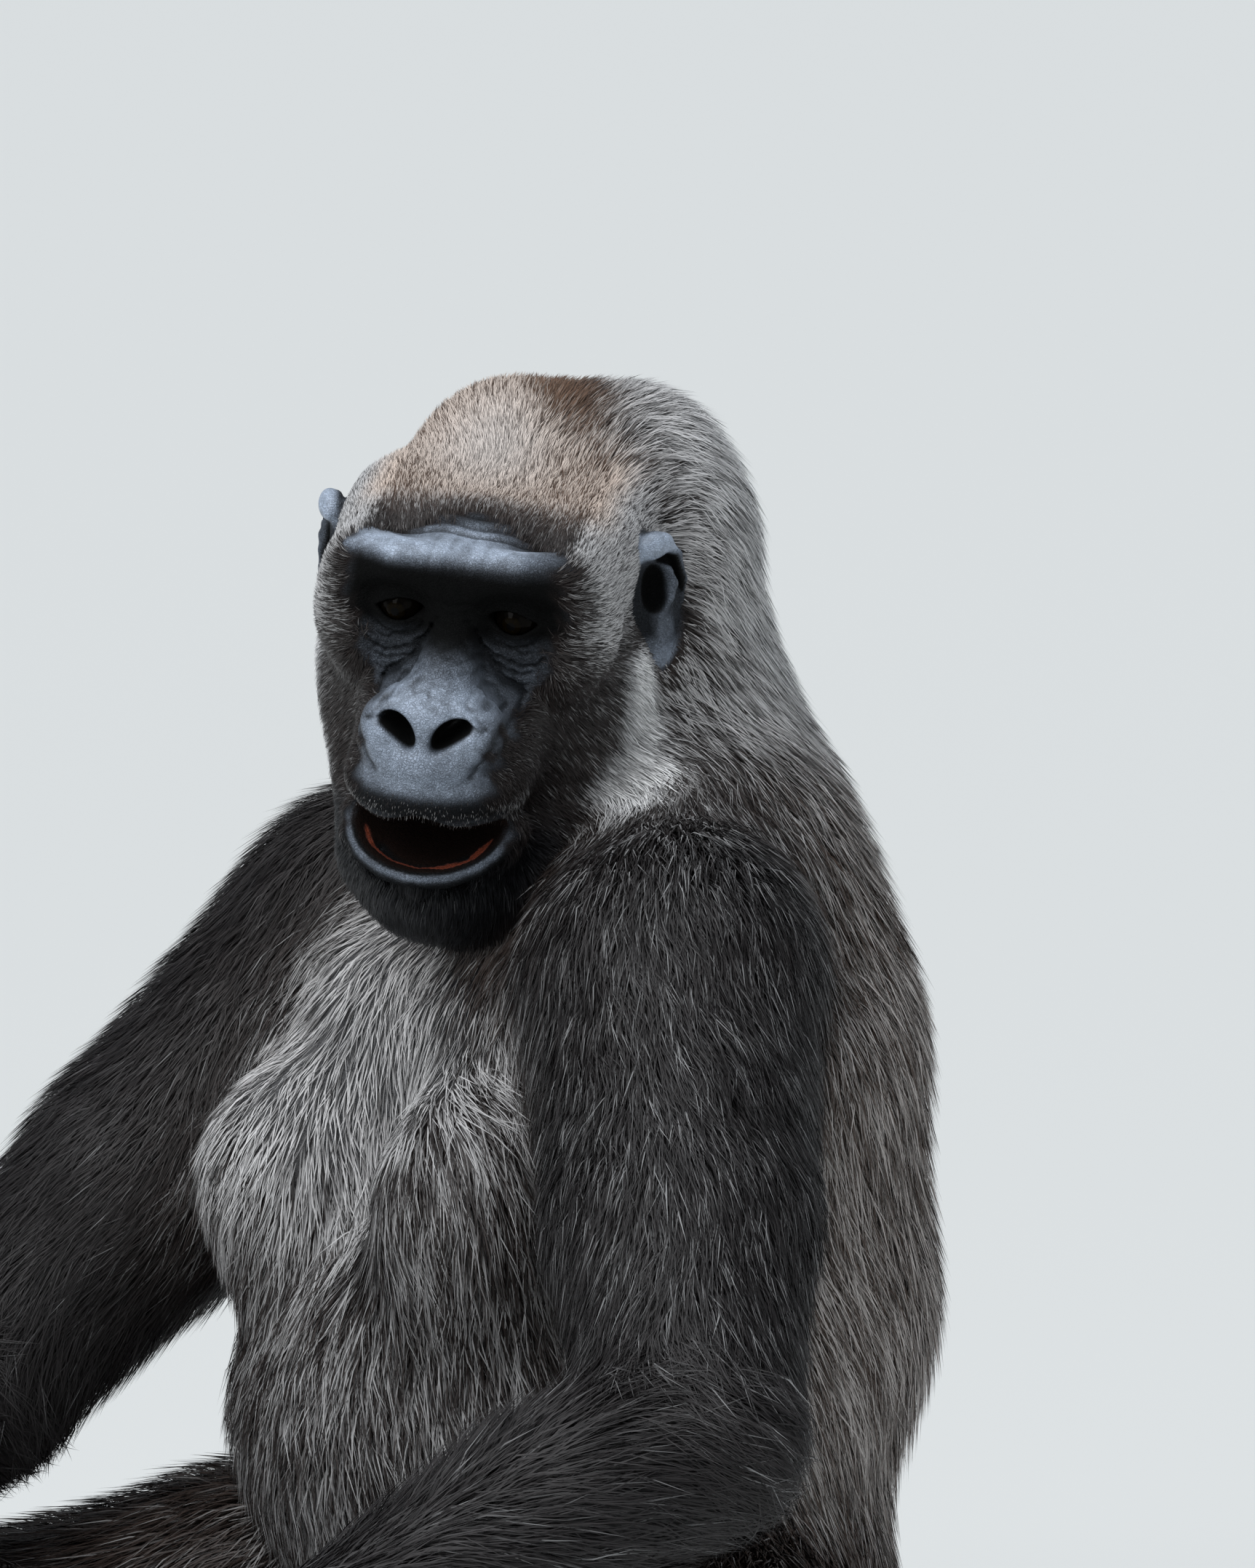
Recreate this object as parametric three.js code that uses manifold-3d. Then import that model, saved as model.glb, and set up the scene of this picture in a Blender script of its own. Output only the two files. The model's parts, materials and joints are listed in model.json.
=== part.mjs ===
// A seated adult female western lowland gorilla, life size, as one still figure.
// Millimetres, +Z up. The body faces -Y and +X is the animal's own left. The origin is the middle of the
// flat patch that the rump sits on. The flesh is a distance field of named forms; each node is a capsule
// mesh whose points are walked out along rays to the coat that covers this flesh, then parted by thin cuts.
import * as THREE from "three";
import { mergeVertices } from "three/addons/utils/BufferGeometryUtils.js";
import Module from "manifold-3d";

const wasm = await Module();
wasm.setup();

// ---------------------------------------------------------------- driving sizes
const GAP = 0.3; // left between touching nodes
// How deep the coat lies over the flesh. Long hair has a solid core of this share of its depth.
const COAT = { body: 18, breast: 6, face: 3, nape: 15, hand: 5, core: 0.5 };
const SIDES = { left: 1, right: -1 };

const HEAD = { at: [12, -82, 624], pitch: 18, roll: 7.2, turn: 41 }; // between the ear canals; degrees
const EYE = { at: [29.5, -82, 14], ball: 11.5, lid: 13.8 }; // in the head's own frame, for +X
const EAR = { at: [83, 12, -6], half: [8, 21, 41], cup: [6.5, 13, 28], flare: { 1: 40, [-1]: 14 }, lean: 8 };
const MOUTH = { at: [0, -130, -82], half: [39, 40, 22.5], roof: -76 };
const NOSTRIL = { at: [12.5, -147, -28], half: [11.5, 22, 5.6], turn: 36 };
// The lower lip from its corner to its middle, and its radii.
const LIP = [[41, -108, -88], [37, -120, -96.5], [28.5, -131, -103], [15.5, -139, -107], [0, -142.5, -108.5]];
const LIP_RADII = [5.5, 5.8, 6, 6.2, 6.2];
const NOSE_LEAN = 3.5; // how far the muzzle stands to the animal's right of the middle of the skull

// Joints of the limbs. The left elbow leans on the knee; the right arm reaches forward to the ground.
const LIMBS = {
  left: {
    shoulder: [142, -68, 428], elbow: [292, -172, 218], wrist: [232, -416, 98],
    knuckles: [222, -476, 66], hip: [92, -5, 104], knee: [285, -185, 64], ankle: [80, -316, 52],
    toes: [102, -430, 24],
  },
  right: {
    shoulder: [-140, -36, 431], elbow: [-237, -226, 206], wrist: [-238, -480, 98],
    knuckles: [-234, -542, 66], hip: [-92, -5, 104], knee: [-285, -185, 64], ankle: [-80, -316, 52],
    toes: [-102, -430, 24],
  },
};
const ARM = { shoulder: 66, middle: 58, elbow: 44, fore: 42, wrist: 27 }; // radii of the flesh
const LEG = { hip: 76, middle: 62, knee: 44, calf: 40, ankle: 28 };
// Flat locks stand on the core of the coat and reach its tips.
const LOCK = { sunk: 7, long: 112, radii: [17, 29, 22, 3], thin: 0.17, heights: [2.5, 6, 8], seed: 7 };
const FINGER = { spread: 21, radius: [13, 11.5, 11, 9.5, 7] };
const TOE = { spread: 17, length: 50, radius: [12, 11, 10, 8] };

// ---------------------------------------------------------------- distance fields
const { hypot, max, min, abs, sin, cos, PI } = Math;
const rad = THREE.MathUtils.degToRad;
const clamp = THREE.MathUtils.clamp;
const smooth = THREE.MathUtils.smoothstep;

/** Joins two distances with a fillet of about k. */
function join(a, b, k) {
  const h = max(k - abs(a - b), 0) / k;
  return min(a, b) - (h * h * k) / 4;
}

/** Takes b out of a with a fillet of about k. */
const carve = (a, b, k) => -join(-a, b, k);

/** Distance to an ellipsoid at c with half axes r. */
function lump(x, y, z, c, r) {
  const [px, py, pz] = [(x - c[0]) / r[0], (y - c[1]) / r[1], (z - c[2]) / r[2]];
  const k0 = hypot(px, py, pz);
  const k1 = hypot(px / r[0], py / r[1], pz / r[2]);
  return k1 < 1e-9 ? -min(...r) : (k0 * (k0 - 1)) / k1;
}

/** Distance to a rod from a to b that tapers from radius ra to rb. */
function rod(x, y, z, a, b, ra, rb) {
  const [dx, dy, dz] = [b[0] - a[0], b[1] - a[1], b[2] - a[2]];
  const t = clamp(((x - a[0]) * dx + (y - a[1]) * dy + (z - a[2]) * dz) / (dx * dx + dy * dy + dz * dz), 0, 1);
  return hypot(x - a[0] - t * dx, y - a[1] - t * dy, z - a[2] - t * dz) - (ra + (rb - ra) * t);
}

const headMatrix = new THREE.Matrix4()
  .makeRotationFromEuler(new THREE.Euler(rad(HEAD.pitch), rad(HEAD.roll), rad(HEAD.turn), "ZXY"))
  .setPosition(...HEAD.at);
const headInverse = headMatrix.clone().invert();

/** Skull, face and jaw in the head's own frame, both sides alike. */
function skull(sx, y, z) {
  const x = abs(sx);
  let d = lump(x, y, z, [0, 20, 1], [70, 86, 46]); // brain case
  d = join(d, lump(x, y, z, [0, 78, 27], [45, 42, 38]), 24); // crest pad
  d = join(d, lump(x, y, z, [0, -42, 11], [63, 52, 41]), 14); // forehead
  d = join(d, lump(x, y, z, [46, 6, 24], [30, 42, 22]), 20); // side of the crown
  d = join(d, lump(x, y, z, [44, -18, -28], [27, 52, 62]), 22); // muscle of the jaw
  d = join(d, lump(x, y, z, [0, -52, 0], [62, 42, 42]), 12); // between the orbits
  d = join(d, lump(x, y, z, [54, -48, 16], [16, 34, 27]), 14); // temple
  d = join(d, lump(x, y, z, [50, -58, -12], [18, 30, 22]), 14); // cheek bone
  d = join(d, rod(x, y, z, [58, -8, -45], [30, -80, -120], 22, 22), 24); // jaw's branch
  d = join(d, lump(x, y, z, [0, -78, -120], [41, 59, 40]), 20); // chin
  d = join(d, lump(x, y, z, [0, -86, -56], [46, 62, 44]), 18); // muzzle
  return d;
}

/** The face over the skull: brow bar, sockets, lids, nose, lips. */
function face(sx, y, z) {
  const leaned = sx + NOSE_LEAN * smooth(-y, 94, 140);
  const x = abs(leaned);
  let d = skull(leaned, y, z);
  const bar = min(
    rod(x, y, z, [0, -90, 37], [30, -92, 40], 10.5, 11),
    rod(x, y, z, [30, -92, 40], [52, -80, 36], 11, 10),
    rod(x, y, z, [52, -80, 36], [57, -60, 0], 10, 10),
  );
  d = join(d, bar, 25);
  d = carve(d, lump(x, y, z, [31, -113, 13], [23, 26, 16]), 10); // socket
  d = join(d, hypot(x - EYE.at[0], y - EYE.at[1], z - EYE.at[2]) - EYE.lid, 5); // lids
  d = join(d, rod(x, y, z, [0, -86, 14], [0, -116, -18], 11, 17), 9); // bridge
  d = join(d, lump(x, y, z, [0, -124, -30], [31, 24, 21]), 8); // nose pad
  d = join(d, lump(x, y, z, [22, -127, -35], [14, 20, 17]), 7); // wings of the nose
  d = join(d, lump(x, y, z, [0, -127, -47], [30, 26, 15]), 8); // pad under the nostrils
  d = join(d, lump(x, y, z, [0, -112, -66], [44, 38, 22]), 10); // upper lip
  const bow = LIP.slice(1).map((end, i) => rod(x, y, z, LIP[i], end, LIP_RADII[i], LIP_RADII[i + 1]));
  return join(d, min(...bow), 9);
}

/** Trunk from rump to nape. */
function trunk(x, y, z) {
  const ax = abs(x);
  let d = lump(x, y, z, [0, 8, 106], [148, 122, 113]); // pelvis
  d = join(d, lump(x, y, z, [0, 22, 255], [156, 136, 150]), 40); // loins
  d = join(d, lump(x, y, z, [0, -48, 205], [154, 138, 128]), 40); // belly
  d = join(d, lump(x, y, z, [0, 14, 380], [160, 134, 128]), 40); // rib cage
  d = join(d, lump(x, y, z, [0, 36, 468], [120, 76, 78]), 40); // hump between the shoulders
  d = join(d, lump(ax, y, z, [56, -84, 378], [62, 44, 60]), 30); // breast muscle
  d = join(d, lump(ax, y, z, [74, -140, 314], [46, 46, 56]), 44); // breast
  d = join(d, rod(x, y, z, [0, 34, 500], [-8, 13, 618], 80, 62), 34); // neck
  d = join(d, lump(x, y, z, [-8, 18, 645], [58, 58, 67]), 24); // nape pad
  return join(d, rod(x, y, z, [4, -34, 500], [10, -62, 560], 56, 50), 30); // throat
}

/** Shoulder, upper arm and forearm of one side. */
function arm(x, y, z, j) {
  const mid = [0, 1, 2].map((i) => j.shoulder[i] * 0.45 + j.elbow[i] * 0.55);
  const belly = [0, 1, 2].map((i) => j.elbow[i] * 0.68 + j.wrist[i] * 0.32);
  const s = Math.sign(j.shoulder[0]);
  let d = rod(x, y, z, j.shoulder, mid, ARM.shoulder, ARM.middle);
  d = join(d, rod(x, y, z, [s * 50, 6, 486], j.shoulder, 58, 56), 30); // slope of the shoulder
  d = join(d, rod(x, y, z, mid, j.elbow, ARM.middle, ARM.elbow), 12);
  d = join(d, rod(x, y, z, j.elbow, belly, ARM.elbow, ARM.fore), 12);
  return join(d, rod(x, y, z, belly, j.wrist, ARM.fore, ARM.wrist), 14);
}

/** Thigh and lower leg of one side. */
function leg(x, y, z, j) {
  const mid = [0, 1, 2].map((i) => j.hip[i] * 0.5 + j.knee[i] * 0.5);
  const calf = [0, 1, 2].map((i) => j.knee[i] * 0.65 + j.ankle[i] * 0.35);
  let d = rod(x, y, z, j.hip, mid, LEG.hip, LEG.middle);
  d = join(d, rod(x, y, z, mid, j.knee, LEG.middle, LEG.knee), 12);
  d = join(d, rod(x, y, z, j.knee, calf, LEG.knee, LEG.calf), 12);
  return join(d, rod(x, y, z, calf, j.ankle, LEG.calf, LEG.ankle), 14);
}

/** The head's field at a point of the body's frame. */
function headField(x, y, z) {
  const e = headInverse.elements;
  return face(
    e[0] * x + e[4] * y + e[8] * z + e[12],
    e[1] * x + e[5] * y + e[9] * z + e[13],
    e[2] * x + e[6] * y + e[10] * z + e[14],
  );
}

/** Palm of one side, from the wrist to the row of knuckles. */
function palm(x, y, z, j) {
  const row = knuckleRow(j, FINGER.spread, "knuckles");
  let d = rod(x, y, z, j.wrist, row[0], ARM.wrist, 13);
  for (const end of row.slice(1)) d = join(d, rod(x, y, z, j.wrist, end, ARM.wrist, 13), 8);
  return join(d, rod(x, y, z, j.elbow, j.wrist, 20, ARM.wrist), 12);
}

/** Sole, heel and instep of one side. */
function foot(x, y, z, j) {
  const heel = [j.ankle[0] * 0.94, j.ankle[1] + 26, 28];
  let d = rod(x, y, z, j.ankle, heel, LEG.ankle, 27);
  for (const end of knuckleRow(j, TOE.spread, "toes")) d = join(d, rod(x, y, z, heel, end, 25, 16), 10);
  d = join(d, rod(x, y, z, j.ankle, j.toes, LEG.ankle, 16), 16);
  return join(d, rod(x, y, z, j.knee, j.ankle, 20, LEG.ankle), 12);
}

/** Four joint centres in a row across the hand or foot, from the outer side to the inner. */
function knuckleRow(j, spread, end) {
  const from = end === "toes" ? j.ankle : j.wrist;
  const ahead = new THREE.Vector3(j[end][0] - from[0], j[end][1] - from[1], 0).normalize();
  const out = Math.sign(j.hip[0]);
  return [1.5, 0.5, -0.5, -1.5].map((k) => [
    j[end][0] - ahead.y * out * k * spread, j[end][1] + ahead.x * out * k * spread, j[end][2] - abs(k) * 1.5,
  ]);
}

/** How deep the coat lies over the flesh at a point. */
function coat(x, y, z) {
  const j = x > 0 ? LIMBS.left : LIMBS.right;
  const near = min(
    hypot(x - j.wrist[0], y - j.wrist[1], z - j.wrist[2]),
    hypot(x - j.ankle[0], y - j.ankle[1], z - j.ankle[2]),
  );
  const bare = 1 - smooth(hypot(x + 20, y + 150, z - 350), 95, 175);
  const onLimb = COAT.hand + (COAT.body - COAT.hand) * smooth(near, 15, 130);
  const e = headInverse.elements;
  const back = e[1] * x + e[5] * y + e[9] * z + e[13];
  const low = e[2] * x + e[6] * y + e[10] * z + e[14];
  const onHead = COAT.face + (COAT.nape - COAT.face) * smooth(back - 0.35 * low, -20, 70);
  const headed = 1 - smooth(hypot(x - HEAD.at[0], y - HEAD.at[1], z - HEAD.at[2]), 150, 210);
  const depth = onLimb * (1 - bare) + COAT.breast * bare;
  return depth * (1 - headed) + onHead * headed;
}

// ---------------------------------------------------------------- solids
/** A closed three.js geometry as a manifold solid. */
function solid(geometry) {
  const bare = geometry.index ? geometry.toNonIndexed() : geometry.clone();
  const points = new THREE.BufferGeometry().setAttribute("position", bare.attributes.position);
  const merged = mergeVertices(points, 1e-3);
  const corners = [];
  for (let i = 0; i < merged.index.count; i += 3) {
    const [a, b, c] = [0, 1, 2].map((k) => merged.index.getX(i + k));
    if (a !== b && b !== c && c !== a) corners.push(a, b, c);
  }
  const vertProperties = merged.attributes.position.array;
  return new wasm.Manifold(new wasm.Mesh({ numProp: 3, vertProperties, triVerts: new Uint32Array(corners) }));
}

/** The largest closed body of a solid. */
const largest = (made) => made.decompose().reduce((a, b) => (b.volume() > a.volume() ? b : a));

/** A manifold solid as a three.js geometry. */
function geometryOf(made) {
  const mesh = made.getMesh();
  const count = mesh.vertProperties.length / mesh.numProp;
  const points = new Float32Array(count * 3);
  for (let i = 0; i < count; i++) {
    points.set(mesh.vertProperties.subarray(i * mesh.numProp, i * mesh.numProp + 3), i * 3);
  }
  const geometry = new THREE.BufferGeometry().setAttribute("position", new THREE.BufferAttribute(points, 3));
  geometry.setIndex(new THREE.BufferAttribute(mesh.triVerts, 1));
  geometry.computeVertexNormals();
  return geometry;
}

/** An ellipsoid solid, turned by an Euler in degrees and put at a place. */
function ball(at, half, turn = [0, 0, 0], around = 16, rows = 10) {
  const g = new THREE.SphereGeometry(1, around, rows).scale(...half);
  g.applyMatrix4(new THREE.Matrix4().makeRotationFromEuler(new THREE.Euler(...turn.map(rad), "ZYX")));
  return solid(g.translate(...at));
}

/** Cuts away what lies past a plane, on the side that its normal points to. */
function trim(made, point, normal, inset = 0) {
  const size = 1600;
  const n = new THREE.Vector3(...normal).normalize();
  const box = new THREE.BoxGeometry(size, size, size).translate(0, 0, size / 2 - inset);
  box.applyQuaternion(new THREE.Quaternion().setFromUnitVectors(new THREE.Vector3(0, 0, 1), n));
  return made.subtract(solid(box.translate(...point)));
}

/** Walks a ray out from inside a field to where it leaves it. */
function walk(field, from, along, limit) {
  let t = 0;
  while (t < limit) {
    const d = field(from.x + along.x * t, from.y + along.y * t, from.z + along.z * t);
    if (d > -0.05) break;
    t += max(-d * 0.7, 0.4);
  }
  return min(t, limit);
}

/** Draws the rows of a sphere toward its upper pole. */
function crowdPole(ray, power) {
  const turn = PI * (Math.acos(clamp(ray.y, -1, 1)) / PI) ** power;
  const flat = hypot(ray.x, ray.z) || 1;
  ray.set((ray.x / flat) * sin(turn), cos(turn), (ray.z / flat) * sin(turn));
}

/** How far a ray may run: a little past the first cutting plane that it meets. */
function limitOf(root, ray, cuts, reach, past = 40) {
  let limit = reach;
  for (const { point, normal } of cuts) {
    const n = new THREE.Vector3(...normal).normalize();
    const rate = ray.dot(n);
    if (rate < 1e-3) continue;
    limit = min(limit, max(n.dot(new THREE.Vector3(...point).sub(root)) / rate, 0) + past);
  }
  return limit;
}

/**
 * A capsule mesh about the axis a-b whose points lie on a field. The planes in "cuts" bound it with flat
 * faces. "crowd" draws its rows toward the upper pole, and "locks" adds hair before the faces are cut.
 */
function wrap(field, a, b, size) {
  const { around, along, ends, cuts = [], reach = 400, inset = GAP / 2, crowd = 1, locks } = size;
  const [from, to] = [new THREE.Vector3(...a), new THREE.Vector3(...b)];
  const g = new THREE.CapsuleGeometry(1, 1, ends, around, along);
  const axis = to.clone().sub(from);
  if (axis.length() < 1e-6) axis.set(...size.up);
  const turn = new THREE.Quaternion().setFromUnitVectors(new THREE.Vector3(0, 1, 0), axis.normalize());
  const place = g.attributes.position;
  const [v, ray, root] = [new THREE.Vector3(), new THREE.Vector3(), new THREE.Vector3()];
  for (let i = 0; i < place.count; i++) {
    v.fromBufferAttribute(place, i);
    const t = clamp(v.y, -0.5, 0.5);
    ray.set(v.x, v.y - t, v.z).normalize();
    if (crowd !== 1) crowdPole(ray, crowd);
    ray.applyQuaternion(turn);
    root.lerpVectors(from, to, t + 0.5);
    root.addScaledVector(ray, walk(field, root, ray, limitOf(root, ray, cuts, reach)));
    place.setXYZ(i, root.x, root.y, root.z);
  }
  const made = solid(g);
  return parted(locks ? locks(made, field) : made, cuts, inset);
}

/** Parts a node from its neighbours with flat faces and keeps the main body. */
function parted(made, cuts, inset = GAP / 2) {
  for (const { point, normal } of cuts) made = trim(made, point, normal, inset);
  return largest(made);
}

/**
 * A closed tapering tube through points. Radii are spread evenly along it. "flat" thins it along the
 * direction "up", which suits a lock of hair.
 */
function tube(points, radii, { around = 6, rings = 5, flat = 1, up = [0, 0, 1] } = {}) {
  const curve = new THREE.CatmullRomCurve3(points.map((p) => new THREE.Vector3(...p)));
  const place = [];
  const side = new THREE.Vector3();
  for (let i = 0; i <= rings; i++) {
    const [t, at, ahead] = [i / rings, curve.getPoint(i / rings), curve.getTangent(i / rings)];
    side.crossVectors(ahead, new THREE.Vector3(...up)).normalize();
    const thick = new THREE.Vector3().crossVectors(side, ahead);
    const k = min(Math.floor(t * (radii.length - 1)), radii.length - 2);
    const r = THREE.MathUtils.lerp(radii[k], radii[k + 1], t * (radii.length - 1) - k);
    for (let n = 0; n < around; n++) {
      const turn = (n / around + 0.25) * 2 * PI;
      const p = at.clone().addScaledVector(side, r * cos(turn)).addScaledVector(thick, r * flat * sin(turn));
      place.push(...p.toArray());
    }
  }
  const first = curve.getPoint(0).addScaledVector(curve.getTangent(0), -radii[0] * flat * 0.6);
  const last = curve.getPoint(1).addScaledVector(curve.getTangent(1), radii.at(-1) * 0.8);
  place.push(...first.toArray(), ...last.toArray());
  const faces = [];
  for (let n = 0; n < around; n++) {
    const m = (n + 1) % around;
    for (let i = 0; i < rings; i++) {
      const [a, b, c, d] = [i * around + n, i * around + m, (i + 1) * around + m, (i + 1) * around + n];
      faces.push(a, c, b, a, d, c);
    }
    faces.push(n, m, (rings + 1) * around);
    faces.push(rings * around + m, rings * around + n, (rings + 1) * around + 1);
  }
  const g = new THREE.BufferGeometry().setAttribute("position", new THREE.Float32BufferAttribute(place, 3));
  return solid(g.setIndex(faces));
}

// ---------------------------------------------------------------- long hair
/** A seeded random number from 0 to 1. */
let seed = LOCK.seed;
function chance() {
  seed = (seed * 16807) % 2147483647;
  return seed / 2147483647;
}

/** The point moved along a field's slope until it lies at a height over the surface. */
function lift(field, p, height) {
  const q = p.clone();
  for (let i = 0; i < 4; i++) {
    q.addScaledVector(slope(field, q), height - field(q.x, q.y, q.z));
  }
  return q;
}

/** The direction in which a field grows. */
function slope(field, p) {
  const [x, y, z, e] = [p.x, p.y, p.z, 1.5];
  const at = field(x, y, z);
  const rise = [field(x + e, y, z) - at, field(x, y + e, z) - at, field(x, y, z + e) - at];
  return new THREE.Vector3(...rise).normalize();
}

/** One lock: rooted under the surface, then lying along it out to the coat's tips. */
function lock(field, root, lie, scale = 1) {
  const up = slope(field, root);
  const along = lie.clone().addScaledVector(up, -lie.dot(up)).normalize();
  const points = [lift(field, root.clone().addScaledVector(along, -8), -LOCK.sunk)];
  LOCK.heights.forEach((height, k) => {
    const far = (LOCK.long * scale * (k + 1)) / LOCK.heights.length;
    points.push(lift(field, root.clone().addScaledVector(along, far), height));
  });
  const radii = LOCK.radii.map((r) => r * scale);
  const shape = { around: 3, rings: 3, flat: LOCK.thin, up: up.toArray() };
  return tube(points.map((q) => q.toArray()), radii, shape);
}

/**
 * Adds tiers of locks around the line from-to. Tiers stand at the fractions in "tiers"; each holds a few
 * locks over the arc of turns, in radians about the line from the direction "front".
 */
function addLocks(made, field, { from, to, tiers, each, arc, front, lie, scale = 1 }) {
  const [a, b] = [new THREE.Vector3(...from), new THREE.Vector3(...to)];
  const axis = b.clone().sub(a).normalize();
  const zero = new THREE.Vector3(...front);
  zero.addScaledVector(axis, -zero.dot(axis)).normalize();
  tiers.forEach((t, row) => {
    for (let k = 0; k < each; k++) {
      const turn = arc[0] + ((k + (row % 2) * 0.5 + 0.3 * chance()) / each) * (arc[1] - arc[0]);
      const ray = zero.clone().applyAxisAngle(axis, turn);
      const root = a.clone().lerp(b, t + 0.06 * (chance() - 0.5));
      root.addScaledVector(ray, walk(field, root, ray, 320));
      const drift = new THREE.Vector3(chance() - 0.5, chance() - 0.5, chance() - 0.5).multiplyScalar(0.35);
      drift.add(new THREE.Vector3(...lie));
      made = made.add(lock(field, root, drift, scale * (0.85 + 0.3 * chance())));
    }
  });
  return made;
}

// ---------------------------------------------------------------- the nodes
const hide = new THREE.MeshStandardMaterial({ name: "coat", color: 0x2b2927, roughness: 0.85 });
const skin = new THREE.MeshStandardMaterial({ name: "skin", color: 0x24262a, roughness: 0.6 });
const eyes = new THREE.MeshStandardMaterial({ name: "eye", color: 0x1a0f08, roughness: 0.1 });

const gorilla = new THREE.Group();

/** Adds a solid to the figure as a named node. */
function node(name, made, material) {
  const mesh = new THREE.Mesh(geometryOf(made), material);
  mesh.name = name;
  gorilla.add(mesh);
}

/** A point or direction of the head's frame in the body's frame. */
const onHead = (p) => new THREE.Vector3(...p).applyMatrix4(headMatrix).toArray();
const alongHead = (p) => new THREE.Vector3(...p).transformDirection(headMatrix).toArray();
const flip = (cut) => ({ point: cut.point, normal: cut.normal.map((n) => -n) });
const toward = (a, b) => [0, 1, 2].map((i) => b[i] - a[i]);
const unit = (v) => v.map((n) => n / hypot(...v));

const FLOOR = { point: [0, 0, -GAP / 2], normal: [0, 0, -1] };
const NECK_FOOT = { point: [0, 0, 540], normal: [0, 0.33, -0.94] };
const NECK = { point: onHead([0, 20, -62]), normal: alongHead([0, 0.8, -0.6]) };

/** Cutting planes of one side's limbs, each facing away from the trunk. */
function limbCuts(side) {
  const [j, s] = [LIMBS[side], SIDES[side]];
  return {
    shoulder: { point: [s * 148, -50, 420], normal: [s * 0.92, -0.32, 0.18] },
    elbow: { point: j.elbow, normal: toward(j.shoulder, j.wrist) },
    wrist: { point: j.wrist, normal: toward(j.elbow, j.wrist) },
    hip: { point: [s * 134, -45, 97], normal: [s * 0.6, -0.56, -0.57] },
    knee: { point: j.knee, normal: toward(j.hip, j.ankle) },
    ankle: { point: j.ankle, normal: toward(j.knee, j.ankle) },
  };
}

const CUTS = { left: limbCuts("left"), right: limbCuts("right") };

// Where the locks stand. Turns are radians about the line from-to, counted from the direction "front".
const BACK_HAIR = {
  from: [0, 20, 120], to: [0, 14, 500], tiers: [0.17, 0.38, 0.59, 0.8, 1], each: 5,
  arc: [-1.3, 1.3], front: [0, 1, 0], lie: [0, 0.1, -1],
};
const NAPE_HAIR = {
  from: [2, 0, 560], to: [4, 0, 660], tiers: [0.12, 0.5, 0.9], each: 4,
  arc: [-1.5, 0.9], front: [0, 1, 0], lie: [0, 0.25, -1], scale: 0.75,
};

/** Hair of one side's limbs: down the upper arm and the leg, and up the forearm toward the elbow. */
function limbHair(side) {
  const [j, s] = [LIMBS[side], SIDES[side]];
  const outer = { front: [s, 0.3, 0.2], each: 3, arc: [-1.3, 1.3], scale: 0.8 };
  const above = { front: [s * 0.5, 0.6, 0.5], each: 3, arc: [-1.2, 1.2], scale: 0.75 };
  return {
    upperArm: { ...outer, tiers: [0.12, 0.42, 0.7], lie: unit(toward(j.shoulder, j.elbow)) },
    forearm: { ...outer, tiers: [0.42, 0.72], lie: unit(toward(j.wrist, j.elbow)), scale: 0.7 },
    thigh: { ...above, tiers: [0.35, 0.65], lie: unit(toward(j.hip, j.knee)) },
    lowerLeg: { ...above, front: [0, -0.3, 1], each: 2, tiers: [0.4], lie: unit(toward(j.knee, j.ankle)) },
  };
}

/** Signed distance past a cutting plane. */
function beyond(cut, x, y, z) {
  const [n, p] = [cut.normal, cut.point];
  return ((x - p[0]) * n[0] + (y - p[1]) * n[1] + (z - p[2]) * n[2]) / hypot(...n);
}

/** The head's own flesh and a little of the throat under its coat, grown by some depth. */
function headShape(grow, size) {
  const field = (x, y, z) => {
    const d = headField(x, y, z);
    return max(join(d, trunk(x, y, z), 22), d - 8) - coat(x, y, z) - grow;
  };
  const at = onHead([0, -56, -30]);
  return wrap(field, at, at, { along: 1, reach: 230, cuts: [NECK], up: alongHead([0, -1, -0.12]), ...size });
}

/** A solid of the head's own frame put where the head is. */
const place = (part) => part.transform(headMatrix.elements);

/** The leaf of one ear, grown by some depth. */
function earLeaf(s, grow) {
  const half = EAR.half.map((h) => h + grow);
  return place(ball([s * EAR.at[0], EAR.at[1], EAR.at[2]], half, [EAR.lean, 0, -s * EAR.flare[s]], 12, 10));
}

/** The room that one ear and its root leave in the hair of the neck. */
function earRoom(s) {
  const root = ball([s * 52, 4, -6], [18, 26, 40], [0, 0, 0], 10, 8);
  return wasm.Manifold.hull([earLeaf(s, 4), place(root)]);
}

/** One ear, its cup open to the front and side. */
function makeEar(side) {
  const s = SIDES[side];
  const middle = [s * (EAR.at[0] + 5), EAR.at[1] - 7, EAR.at[2] + 4];
  const cup = ball(middle, EAR.cup, [EAR.lean, 0, -s * EAR.flare[s]], 9, 6);
  node("ear_" + side, largest(earLeaf(s, 0).subtract(place(cup))), skin);
}

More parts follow.
